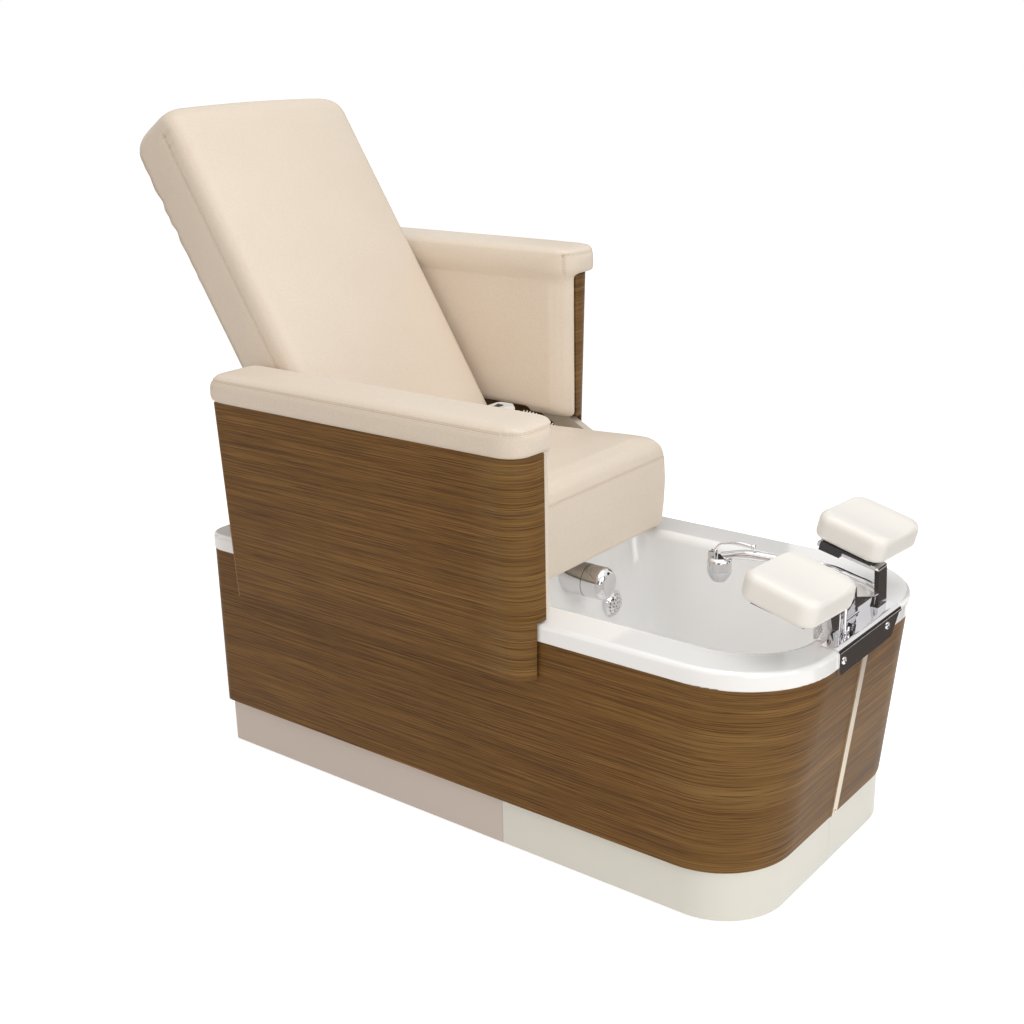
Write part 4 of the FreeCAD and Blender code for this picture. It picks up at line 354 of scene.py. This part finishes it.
def metal_paint(name, colour):
    """Powder coat: orange peel and slight scuffs."""
    look = moulded(name, colour, 0.42, spread=0.07, grain=650, depth=0.00016, tint=0.8)
    look.bump(look.noise(40.0, detail=5.0), 0.0002, 0.3)
    return look


def upholstery(name, pale, deep, rough=0.46):
    """Synthetic leather: fine pebbled grain, slight mottling, satin sheen."""
    look = Look(name, pale, rough, Sheen_Weight=0.08, Sheen_Roughness=0.5,
                Subsurface_Weight=0.03, Subsurface_Scale=0.004)
    look.set("Subsurface Radius", (1.0, 0.62, 0.42))
    tone = look.ramp(look.noise(3.2, detail=3.0), [(0.28, deep), (0.72, pale)])
    pores = look.noise(520.0, detail=2.0)
    dots = look.ramp(pores, [(0.35, (0.93, 0.92, 0.91)), (0.6, (1, 1, 1))])
    look.colour(look.blend("MULTIPLY", 1.0, tone, dots))
    look.roughness(look.spread(look.noise(60.0, detail=4.0), rough - 0.06, rough + 0.07))
    look.bump(look.cells(780.0), 0.00022, 0.7)
    look.bump(look.noise(55.0, detail=4.0), 0.0007, 0.35)
    return look


def veneer(name, highlight_span, highlight_below=None):
    """Walnut veneer under satin lacquer, its grain level, with a painted highlight where it goes
    round a bend and, when an X is given, a painted highlight strip behind that X.
    """
    look = Look(name, WALNUT_MID, 0.44, Specular_IOR_Level=0.16)
    bands = look.noise(1.0, stretch=(0.8, 0.8, 34), detail=3.0, distortion=0.4)
    base = look.ramp(bands, [(0.3, mixed(WALNUT_DARK, WALNUT_MID, 0.62)), (0.5, WALNUT_MID),
                             (0.72, mixed(WALNUT_MID, WALNUT_LIGHT, 0.4))])
    streaks = look.noise(1.0, stretch=(3.4, 3.4, 420), detail=7.0, rough=0.66, distortion=0.1)
    lines = look.ramp(streaks, [(0.36, WALNUT_DARK), (0.5, WALNUT_MID), (0.64, WALNUT_LIGHT)])
    body = look.blend("MIX", 0.62, base, lines)
    pores = look.noise(1.0, stretch=(8, 8, 640), detail=3.0, rough=0.6)
    ticks = look.ramp(pores, [(0.36, (0.36, 0.30, 0.24)), (0.49, (1, 1, 1))])
    body = look.blend("MULTIPLY", 0.75, body, ticks)
    # Painted highlight: the colour is lightened towards a pale golden walnut across the bend,
    # standing in for the lacquer's sheen there.
    along = look.node("ShaderNodeSeparateXYZ", {0: look.place}).outputs[0]
    rise = look.spread(along, 0.0, 1.0, highlight_span[0], highlight_span[1])
    fall = look.spread(along, 1.0, 0.35, highlight_span[2], highlight_span[3])
    highlight_share = look.product(look.product(rise, fall), look.spread(bands, 0.05, 0.30))
    highlighted = look.blend("MULTIPLY", 1.0, WALNUT_PAINTED_HIGHLIGHT, ticks)
    body = look.blend("MIX", highlight_share, body, highlighted)
    # Painted highlight: a light strip behind the given X, on the arm shell's rounded rear edge.
    if highlight_below is not None:
        edge = calculate(look.tree, "LESS_THAN", along, highlight_below)
        body = look.blend("MIX", look.product(edge, 0.55), body, WALNUT_EDGE_HIGHLIGHT)
    look.colour(body)
    look.roughness(look.spread(streaks, 0.40, 0.54))
    look.bump(pores, 0.00009, 0.8)
    look.bump(streaks, 0.00012, 0.5)
    return look


def board_look(name, colour, deep):
    """Board: fine straight grain along X, uneven gloss."""
    look = Look(name, colour, 0.55)
    grain = look.noise(1.0, stretch=(9, 120, 120), detail=5.0, rough=0.6)
    look.colour(look.ramp(grain, [(0.3, deep), (0.7, colour)]))
    look.roughness(look.spread(grain, 0.48, 0.62))
    look.bump(grain, 0.0001, 0.7)
    return look


def make_looks():
    """One material for each slot of the frame."""
    looks = [
        metal_paint("frame_steel", (0.028, 0.028, 0.03)),
        moulded("black_rubber", (0.018, 0.018, 0.018), 0.75, grain=500, depth=0.0002),
        moulded("plinth_cream", (0.80, 0.785, 0.71), 0.34, spread=0.015, tint=0.992),
        veneer("veneer", SKIRT_HIGHLIGHT_SPAN),
        metal("satin_trim", (0.72, 0.64, 0.52), 0.42, brushed=(1, 1, 0.05)),
        metal("chromed_steel", (0.80, 0.79, 0.80), 0.055, spread=0.03),
        moulded("white_acrylic", (0.93, 0.925, 0.915), 0.1, spread=0.03, grain=130,
                depth=0.00004, tint=0.985, Coat_Weight=0.4, Coat_Roughness=0.04),
        moulded("grey_plastic", (0.27, 0.28, 0.29), 0.5),
        moulded("black_plastic", (0.02, 0.02, 0.022), 0.45),
        moulded("frosted_plastic", (0.82, 0.83, 0.84), 0.4, Transmission_Weight=0.35),
        moulded("cream_moulding", (0.86, 0.83, 0.775), 0.34, spread=0.05, grain=620,
                depth=0.00012, tint=0.965, Coat_Weight=0.12, Coat_Roughness=0.25),
        board_look("carriage_board", (0.66, 0.58, 0.46), (0.58, 0.5, 0.39)),
        board_look("plywood", (0.5, 0.34, 0.19), (0.36, 0.23, 0.12)),
        upholstery("cream_upholstery", CREAM, CREAM_DEEP),
        moulded("white_gloss", (0.87, 0.87, 0.86), 0.22, Coat_Weight=0.3),
        moulded("white_cable", (0.84, 0.84, 0.82), 0.38, grain=1500),
    ]
    return {look.name: look.material for look in looks}


def dress_nodes():
    """Gives each CAD node its slot's material, and a few nodes one of their own."""
    slots = {part["node"]: part["material_slot"] for part in frame["record"]["subparts"]}
    # Spans of the painted highlights, moved to the left arm.
    left_highlight_span = tuple(x + ARM_SHIFT.x for x in ARM_HIGHLIGHT_SPAN)
    left_highlight_edge = ARM_HIGHLIGHT_EDGE + ARM_SHIFT.x
    own = {"arm_shell_right": veneer("veneer_arm", ARM_HIGHLIGHT_SPAN, ARM_HIGHLIGHT_EDGE).material,
           "arm_shell_left": veneer("veneer_arm_left", left_highlight_span, left_highlight_edge).material,
           # The rear plinth panel gets a darker, pinker copy of the plinth's cream: painted
           # shade.
           "plinth_rear": moulded("plinth_rear", (0.66, 0.575, 0.505), 0.4, spread=0.015,
                                  tint=0.985).material}
    pale_steel = metal_paint("pale_steel", (0.70, 0.61, 0.50)).material
    for name, node in NODES.items():
        chosen = own.get(name, LOOKS[slots[name]])
        if name.startswith(("arm_rail", "arm_slider")):
            chosen = pale_steel
        if not node.material_slots:
            node.data.materials.append(None)
        for slot in node.material_slots:
            slot.link = "OBJECT"
            slot.material = chosen


# Handset cord

def smooth_curve(name, points, resolution):
    """A curve drawn smoothly near its points, from the first to the last."""
    curve = bpy.data.curves.new(name, "CURVE")
    curve.dimensions = "3D"
    spline = curve.splines.new("NURBS")
    spline.points.add(len(points) - 1)
    for point, place in zip(spline.points, points):
        point.co = (*place, 1)
    spline.order_u = 3
    spline.use_endpoint_u = True
    spline.resolution_u = resolution
    return link(name, curve)


def route_line(points):
    """Points along the smooth line of a cord's route."""
    guide = smooth_curve("route", points, 60)
    mesh = bpy.data.meshes.new_from_object(guide)
    line = [v.co.copy() for v in mesh.vertices]
    bpy.data.objects.remove(guide)
    bpy.data.meshes.remove(mesh)
    return line


def walked(line, step):
    """The line's points at even steps, each with the length walked to it."""
    marks = [0.0]
    for a, b in zip(line, line[1:]):
        marks.append(marks[-1] + (b - a).length)
    total = marks[-1]
    count = max(2, round(total / step))
    points, i = [], 0
    for k in range(count + 1):
        s = total * k / count
        while i < len(marks) - 2 and marks[i + 1] < s:
            i += 1
        share = (s - marks[i]) / max(1e-9, marks[i + 1] - marks[i])
        points.append((s, line[i].lerp(line[i + 1], min(1.0, share))))
    return points, total


def wound_line():
    """Points along the curls, which open out from either end of the route."""
    points, total = walked(route_line(CORD_POINTS), CURL_PITCH / CURL_STEPS)
    side = Vector((0, 0, 1))
    turn, before = 0.0, 0.0
    wound = []
    for k, (s, place) in enumerate(points):
        ahead = points[min(k + 1, len(points) - 1)][1]
        behind = points[max(k - 1, 0)][1]
        along = (ahead - behind).normalized()
        side = (side - along * side.dot(along)).normalized()
        across = along.cross(side)
        near = min(s, total - s) - CURL_LEAD
        share = max(0.0, min(1.0, near / CURL_OPENING))
        share = share * share * (3 - 2 * share)
        turn += 2 * math.pi * (s - before) * share / CURL_PITCH
        before = s
        out = side * math.cos(turn) + across * math.sin(turn)
        wound.append(place + out * (CURL_RADIUS * share))
    return wound


def make_cord():
    wound = wound_line()
    cord = smooth_curve("handset_curl", wound, 2)
    cord.data.bevel_depth = WIRE_RADIUS
    cord.data.bevel_resolution = 2
    cord.data.materials.append(LOOKS["white_cable"])
    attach(cord, "carriage")
    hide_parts("handset_cord")


# Meshes

def built(name, form):
    """A linked object made from a bmesh, which it frees."""
    mesh = bpy.data.meshes.new(name)
    form.to_mesh(mesh)
    form.free()
    return link(name, mesh)


def settle(piece):
    """Applies the piece's modifiers to its mesh."""
    graph = bpy.context.evaluated_depsgraph_get()
    graph.update()
    mesh = bpy.data.meshes.new_from_object(piece.evaluated_get(graph))
    old = piece.data
    piece.modifiers.clear()
    piece.data = mesh
    mesh.name = piece.name
    if old.users == 0:
        bpy.data.meshes.remove(old)


def remesh(piece, voxel):
    made = piece.modifiers.new("remesh", "REMESH")
    made.mode = "VOXEL"
    made.voxel_size = voxel
    settle(piece)


def vertex_rows(mesh, key):
    flat = np.empty(len(mesh.vertices) * 3, np.float32)
    mesh.vertices.foreach_get(key, flat)
    return flat.reshape(-1, 3).astype(float)


def coords(mesh):
    return vertex_rows(mesh, "co")


def normals(mesh):
    return vertex_rows(mesh, "normal")


def put(mesh, points):
    mesh.vertices.foreach_set("co", points.astype(np.float32).ravel())
    mesh.update()


def smooth(piece, rounds):
    """Evens the skin in pairs of steps, in and out, so that it keeps its size."""
    for factor in (0.5, -0.52) * rounds:
        made = piece.modifiers.new("smooth", "SMOOTH")
        made.iterations = 1
        made.factor = factor
    settle(piece)


def soften(piece, rounds, chosen):
    """Rounds the chosen part of the skin, which shrinks a little with it."""
    group = piece.vertex_groups.new(name="soft")
    group.add(np.flatnonzero(chosen(coords(piece.data))).tolist(), 1.0, "REPLACE")
    made = piece.modifiers.new("soften", "SMOOTH")
    made.iterations = rounds
    made.factor = 0.5
    made.vertex_group = "soft"
    settle(piece)
    piece.vertex_groups.clear()


def subdivide(piece):
    made = piece.modifiers.new("fine", "SUBSURF")
    made.levels = 1
    made.render_levels = 1
    settle(piece)


def blow_up(piece, pressure, frames=20):
    """How far each point of the skin moves when it is blown up as air-filled cloth."""
    start = coords(piece.data)
    cloth = piece.modifiers.new("cloth", "CLOTH")
    set_up = cloth.settings
    set_up.quality = 4
    set_up.mass = 0.3
    set_up.use_pressure = True
    set_up.uniform_pressure_force = pressure
    set_up.tension_stiffness = 15
    set_up.compression_stiffness = 15
    set_up.shear_stiffness = 8
    set_up.bending_stiffness = 2
    set_up.effector_weights.gravity = 0
    cloth.collision_settings.use_self_collision = False
    cloth.point_cache.frame_start = 1
    cloth.point_cache.frame_end = frames
    for k in range(1, frames + 1):
        scene.frame_set(k)
    settle(piece)
    scene.frame_set(1)
    return coords(piece.data) - start


def evened(mesh, values, rounds):
    """Values of the mesh's points, each drawn towards the mean of its neighbours."""
    pairs = np.empty(len(mesh.edges) * 2, np.int32)
    mesh.edges.foreach_get("vertices", pairs)
    a, b = pairs.reshape(-1, 2).T
    count = len(mesh.vertices)
    degree = np.bincount(a, minlength=count) + np.bincount(b, minlength=count)
    for _ in range(rounds):
        around = (np.bincount(a, values[b], count) + np.bincount(b, values[a], count)) / degree
        values = 0.4 * values + 0.6 * around
    return values


def puff(piece, rise, dip=0.0006, pressure=4.0):
    """Lays the cloth's swelling on the full-size skin: up to rise outwards, dip inwards."""
    full, out = coords(piece.data), normals(piece.data)
    put(piece.data, full - out * rise)
    swell = (blow_up(piece, pressure) * out).sum(axis=1)
    swell -= np.percentile(swell, 35)
    share = np.where(swell > 0, rise * np.tanh(swell / rise), dip * np.tanh(swell / dip))
    share = evened(piece.data, share, 60)
    put(piece.data, full + out * share[:, None])
    smooth(piece, 2)


# Sewing

class Seam:
    """A flat cut through a cushion's skin that a row of sewing follows."""

    def __init__(self, point, across, keep):
        self.point = np.array(point, float)
        self.across = np.array(across, float) / np.linalg.norm(across)
        self.keep = keep

    def mirrored(self, shift):
        """The same seam on the other side of the chair, moved by shift."""
        shift = np.array(shift)

        def keep(points):
            return self.keep((points - shift) * MIRROR)

        return Seam(self.point * MIRROR + shift, self.across * MIRROR, keep)

    def pinch(self, mesh, depth=0.0013, width=0.0034):
        """Draws the skin in along the seam."""
        points = coords(mesh)
        away = (points - self.point) @ self.across / width
        share = np.exp(-away * away) * self.keep(points)
        put(mesh, points - normals(mesh) * (depth * share)[:, None])


def seam_cut(mesh, seam):
    """Where the seam's plane cuts the skin: each point's neighbours and its place."""
    cutter = bmesh.new()
    cutter.from_mesh(mesh)
    result = bmesh.ops.bisect_plane(cutter, geom=[*cutter.verts, *cutter.edges, *cutter.faces],
                                    plane_co=seam.point, plane_no=seam.across)
    beside, places = {}, {}
    for edge in result["geom_cut"]:
        if not isinstance(edge, bmesh.types.BMEdge):
            continue
        a, b = edge.verts
        middle = np.array([(a.co + b.co) / 2])
        if not seam.keep(middle)[0]:
            continue
        beside.setdefault(a.index, []).append(b.index)
        beside.setdefault(b.index, []).append(a.index)
        places[a.index], places[b.index] = a.co.copy(), b.co.copy()
    cutter.free()
    return beside, places


def seam_lines(mesh, seam, shortest=6):
    """Chains of points along the seam, without short scraps."""
    beside, places = seam_cut(mesh, seam)
    chains, done = [], set()
    for first in sorted(beside, key=lambda i: (len(beside[i]) != 1, i)):
        if first in done:
            continue
        chain, here = [first], first
        done.add(first)
        while True:
            ahead = [n for n in beside[here] if n not in done]
            if not ahead:
                break
            here = ahead[0]
            done.add(here)
            chain.append(here)
        if len(chain) > 2 and chain[0] in beside[chain[-1]]:
            chain.append(chain[0])
        if len(chain) >= shortest:
            chains.append([places[i] for i in chain])
    return chains


def join_rings(form, rings):
    """Faces between rings with equal counts of points, with both ends closed."""
    count = len(rings[0])
    for a, b in zip(rings, rings[1:]):
        for k in range(count):
            form.faces.new((a[k], a[(k + 1) % count], b[(k + 1) % count], b[k]))
    form.faces.new(rings[0][::-1])
    form.faces.new(rings[-1])


def add_stitch(form, place, along, out, length=0.0046, radius=0.00045, sides=6):
    """One stitch: a short thread, thicker in the middle, sunk at both ends."""
    side = along.cross(out).normalized()
    rings = []
    for share, size, rise in STITCH_SECTIONS:
        centre = place + along * (length * share) + out * (radius * rise)
        ring = []
        for k in range(sides):
            turn = 2 * math.pi * k / sides
            offset = side * math.cos(turn) + out * math.sin(turn)
            ring.append(form.verts.new(centre + offset * (radius * size)))
        rings.append(ring)
    join_rings(form, rings)


def add_seam_shade(form, points, tree, half=0.0006, lift=0.00015):
    """Painted shade in the groove where two panels meet: a thin dark strip laid along the seam.
    """
    before = None
    for k, place in enumerate(points):
        ahead, behind = points[min(k + 1, len(points) - 1)], points[max(k - 1, 0)]
        _, out, _, _ = tree.find_nearest(place)
        side = (ahead - behind).cross(out).normalized()
        ring = [form.verts.new(place + side * half * across + out * rise)
                for across, rise in ((-1, -lift), (-0.5, lift), (0.5, lift), (1, -lift))]
        if before is not None:
            for i in range(3):
                form.faces.new((before[i], before[i + 1], ring[i + 1], ring[i]))
            form.faces.new((before[3], before[0], ring[0], ring[3]))
        else:
            form.faces.new(ring)
        before = ring
    form.faces.new(before[::-1])


def finish_thread(thread, material, body):
    thread.data.materials.append(material)
    thread.data.shade_smooth()
    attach(thread, body)


def sew(name, piece, seams, body, row=0.0034, pitch=0.0062):
    """A thin dark strip of painted shade along each seam's groove, with a row of stitches on
    either side.
    """
    surface = bmesh.new()
    surface.from_mesh(piece.data)
    tree = BVHTree.FromBMesh(surface)
    form, seam_shades = bmesh.new(), bmesh.new()
    for seam in seams:
        for chain in seam_lines(piece.data, seam):
            points = [place for _, place in walked(chain, pitch)[0]]
            # A dark strip along the seam: painted shade in its groove.
            add_seam_shade(seam_shades, points, tree)
            for before, here, after in zip(points, points[1:], points[2:]):
                along = (after - before).normalized()
                _, out, _, _ = tree.find_nearest(here)
                side = along.cross(out).normalized()
                for away in (-row, row):
                    spot, up, _, _ = tree.find_nearest(here + side * away)
                    add_stitch(form, spot, along, up)
    surface.free()
    finish_thread(built(name, form), THREAD, body)
    # The seam strips, dark with painted shade.
    finish_thread(built(name + "_seam_shade", seam_shades), SEAM_SHADE, body)


# Padded pieces

def node_points(name, keep=lambda p: True):
    return [v.co.copy() for v in NODES[name].data.vertices if keep(v.co)]


def add_hull(target, points):
    """Adds the convex skin round the points to a bmesh."""
    part = bmesh.new()
    seen = set()
    for p in points:
        key = tuple(round(c, 5) for c in p)
        if key not in seen:
            seen.add(key)
            part.verts.new(p)
    result = bmesh.ops.convex_hull(part, input=part.verts)
    stray = [g for g in result["geom_interior"] if isinstance(g, bmesh.types.BMVert)]
    bmesh.ops.delete(part, geom=stray, context="VERTS")
    mesh = bpy.data.meshes.new("part")
    part.to_mesh(mesh)
    part.free()
    target.from_mesh(mesh)
    bpy.data.meshes.remove(mesh)


def skin(name, hulls, voxel):
    """One closed, even skin round several convex bodies."""
    form = bmesh.new()
    for points in hulls:
        add_hull(form, points)
    piece = built(name, form)
    remesh(piece, voxel)
    smooth(piece, 4)
    return piece


def finish_pad(piece, body, fill, *replaced, slot="cream_upholstery"):
    piece.data.materials.clear()
    piece.data.materials.append(LOOKS[slot])
    piece.data.shade_smooth()
    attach(piece, body)
    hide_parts(*replaced)


def back_frame(points):
    """Height up the leaning back, and distance out of its middle plane."""
    x = points[:, 0] - HINGE.x
    z = points[:, 2] - HINGE.z
    up = -x * math.sin(BACK_ANGLE) + z * math.cos(BACK_ANGLE)
    out = x * math.cos(BACK_ANGLE) + z * math.sin(BACK_ANGLE)
    return up, out


def back_seams():
    """A seam up either front edge of the back, and one round its rear edge."""
    def front_edge(side):
        def keep(points):
            up, out = back_frame(points)
            return (points[:, 1] * side > 0.19) & (up > 0.03) & (up < 0.752) & (out > 0)
        return keep

    def rear_edge(points):
        up, out = back_frame(points)
        return (up > 0.06) & (out < 0)

    front = HINGE + Vector(BACK_OUT) * BACK_FRONT_SEAM
    behind = HINGE - Vector(BACK_OUT) * BACK_REAR_SEAM
    return ([Seam(front, BACK_OUT, front_edge(side)) for side in (1, -1)],
            Seam(behind, BACK_OUT, rear_edge))


def gather(mesh):
    """Small folds in the cover: gathers at the seams' top ends, ripples up the rear edges."""
    points = coords(mesh)
    up, out = back_frame(points)
    wide = np.abs(points[:, 1])
    moved = np.zeros(len(points))
    near = np.exp(-((out - BACK_FRONT_SEAM) / 0.02) ** 2) * (wide > 0.2)
    for height, depth in GATHERS:
        moved -= depth * np.exp(-((up - height) / 0.0055) ** 2) * near
    rear = np.clip((0.0 - out) / 0.07, 0, 1)
    high = np.clip((up - 0.44) / 0.1, 0, 1) * np.clip((0.78 - up) / 0.05, 0, 1)
    wave = np.sin(up * 150 + 1.2 * np.sin(up * 41)) * 0.0010 + np.sin(up * 83 + 0.7) * 0.0009
    moved += wave * rear * high * np.clip((wide - 0.12) / 0.1, 0, 1)
    put(mesh, points + normals(mesh) * moved[:, None])


def make_backrest():
    """The back's cushion: its upper body, the thicker front and the narrower middle."""
    def upper(p):
        return back_frame(np.array([p]))[0][0] > 0.0239

    def front(p):
        up, out = back_frame(np.array([p]))
        return up[0] > -0.0065 and out[0] > 0.0455

    def middle(p):
        return abs(p.y) < 0.2185

    piece = skin("backrest_pad", [node_points("backrest_cushion", keep)
                                  for keep in (upper, front, middle)], 0.0062)
    puff(piece, 0.0025)
    points = coords(piece.data)
    points[:, 1] = np.clip(points[:, 1], -BACK_HALF_WIDTH, BACK_HALF_WIDTH)
    put(piece.data, points)
    subdivide(piece)
    gather(piece.data)
    fronts, rear = back_seams()
    for seam in fronts:
        seam.pinch(piece.data)
    rear.pinch(piece.data, 0.002, 0.005)
    finish_pad(piece, "backrest", 0.85, "backrest_cushion")
    sew("backrest_stitches", piece, fronts, "backrest")
    sew("backrest_welt", piece, [rear], "backrest", row=0.003)


def make_seat():
    """The seat's cushion, held above its solid's underside and clear of the handset."""
    piece = skin("seat_pad", [node_points("seat_cushion")], 0.006)
    puff(piece, 0.002)
    low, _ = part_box("seat_cushion")
    handset_low, handset_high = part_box("handset_body")
    points = coords(piece.data)
    points[:, 2] = np.clip(points[:, 2], low[2] + 0.0003, None)
    points[:, 1] = np.clip(points[:, 1], -SEAT_HALF_WIDTH, SEAT_HALF_WIDTH)
    points[:, 0] = np.clip(points[:, 0], low[0], None)
    below = (points[:, 0] < handset_high[0] + 0.006) & (points[:, 1] > handset_low[1] - 0.006)
    points[below, 2] = np.clip(points[below, 2], None, handset_low[2] - 0.0004)
    put(piece.data, points)
    subdivide(piece)
    seam = Seam((0.13, 0, 0.6485), (0, 0, 1), lambda p: p[:, 0] > -0.25)
    seam.pinch(piece.data)
    finish_pad(piece, "carriage", 0.85, "seat_cushion")
    sew("seat_stitches", piece, [seam], "carriage")


def round_end(p):
    """Draws a point of the cap in towards its middle, so that the front end is round in plan."""
    low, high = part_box("arm_cap_right")
    middle, half = (low[1] + high[1]) / 2, (high[1] - low[1]) / 2
    past = max(0.0, min(1.0, (p.x - (high[0] - CAP_ROUND)) / CAP_ROUND))
    share = math.sqrt(max(0.0, 1 - past * past))
    wide = 0.22 + 0.78 * share
    away = max(-half * wide, min(half * wide, p.y - middle))
    top = low[2] + (high[2] - low[2]) * (0.70 + 0.30 * share)
    return Vector((p.x, middle + away, min(p.z, top)))


def cap_points():
    """The right cap's points, with its last full section repeated along the rounded end."""
    points = node_points("arm_cap_right")
    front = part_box("arm_cap_right")[1][0]
    section = [p for p in points if abs(p.x - (front - CAP_SECTION)) < 0.0005]
    for back in (CAP_ROUND, 0.052, 0.044):
        points += [Vector((front - back, p.y, p.z)) for p in section]
    return [round_end(p) for p in points]


def make_arms():
    """Inner panel and cap are one upholstered form; the left one mirrors the right one."""
    def cap_sides(points):
        return (points[:, 2] > 0.826) | (points[:, 1] < -0.3035)

    def below_cap(points):
        return (points[:, 1] > -0.292) & (points[:, 2] > 0.768) & (points[:, 2] < 0.848)

    def cap_edge(points):
        return (points[:, 1] < -0.268) & ((points[:, 1] < -0.33) | (points[:, 0] > 0.1))

    def panel_edge(points):
        return (points[:, 0] > 0.1) & (points[:, 1] > -0.275) & (points[:, 2] < 0.846)

    pad = node_points("arm_pad_right", lambda p: p.z > 0.5055)
    nose = node_points("arm_pad_right", lambda p: p.x > 0.1025)
    piece = skin("arm_right_pad", [pad, nose, cap_points()], 0.0052)
    soften(piece, 9, cap_sides)
    soften(piece, 40, below_cap)
    puff(piece, 0.0015)
    points = coords(piece.data)
    panel = points[:, 2] < ARM_PANEL_TOP
    points[panel, 1] = np.clip(points[panel, 1], *ARM_PANEL)
    put(piece.data, points)
    subdivide(piece)
    seams = [Seam((0, -0.38, 0.8465), (0, 0, 1), cap_edge),
             Seam((0.2115, -0.26, 0.7), (1, 0, 0), panel_edge)]
    other = link("arm_left_pad", piece.data.copy())
    put(other.data, coords(other.data) * MIRROR + np.array(ARM_SHIFT))
    other.data.flip_normals()
    other_seams = [seam.mirrored(ARM_SHIFT) for seam in seams]
    for side, made, rows in (("right", piece, seams), ("left", other, other_seams)):
        for seam in rows:
            seam.pinch(made.data)
        finish_pad(made, "arm_" + side, 0.8, "arm_pad_" + side, "arm_cap_" + side)
        sew(f"arm_{side}_stitches", made, rows, "arm_" + side)


def make_footrests():
    """The footrests' pads, their edges a little softened."""
    for side in ("right", "left"):
        node = "footrest_pad_" + side
        form = bmesh.new()
        form.from_mesh(NODES[node].data)
        bmesh.ops.remove_doubles(form, verts=form.verts, dist=0.00001)
        piece = built("footrest_cushion_" + side, form)
        remesh(piece, 0.0024)
        smooth(piece, 1)
        finish_pad(piece, "footrest_" + side, 0.95, node, slot="cream_moulding")


# Spout's shade

def lathe(form, centre, profile, steps, ribs, rib):
    """Turned form from (radius, height) pairs, with shallow upright ribs."""
    rings = []
    for radius, height in profile:
        ring = []
        for k in range(steps):
            turn = 2 * math.pi * k / steps
            wide = radius + rib * radius * math.cos(turn * ribs)
            spot = Vector((wide * math.cos(turn), wide * math.sin(turn), height))
            ring.append(form.verts.new(centre + spot))
        rings.append(ring)
    join_rings(form, rings)


def make_shade():
    """Frosted ribbed bell under the spout's hub."""
    low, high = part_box("spout_shade")
    centre = Vector(((low[0] + high[0]) / 2, (low[1] + high[1]) / 2, low[2]))
    tall, wide = high[2] - low[2], (high[0] - low[0]) / 2
    foot, start, steps = 0.0004, 0.22, 8
    profile = [(wide * 0.30, tall * 0.30), (wide * 0.32, foot)]
    for k in range(steps + 1):
        share = k / steps
        bulge = math.sin(start + share * (math.pi / 2 - start))
        height = foot + tall * (0.04 + 0.96 * share) * 0.97
        profile.append((wide * (0.40 + 0.57 * bulge), height))
    form = bmesh.new()
    lathe(form, centre, profile, 144, ribs=24, rib=0.022)
    bell = built("spout_bell", form)
    bell.data.materials.append(LOOKS["frosted_plastic"])
    bell.data.shade_smooth()
    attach(bell, "spout")
    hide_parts("spout_shade")


LOOKS = make_looks()
THREAD = moulded("thread", (0.66, 0.53, 0.39), 0.6, grain=2500, depth=0.0001).material
# Darker cream for the strips laid along the seams: painted shade in their grooves.
SEAM_SHADE = moulded("seam_shade", (0.56, 0.44, 0.33), 0.7, grain=1800, depth=0.0001).material

add_camera()
make_cord()
add_world()
add_floor()
add_lamps()
add_cards()
dress_nodes()
make_seat()
make_backrest()
make_arms()
make_footrests()
make_shade()

scene.view_settings.view_transform = "Standard"
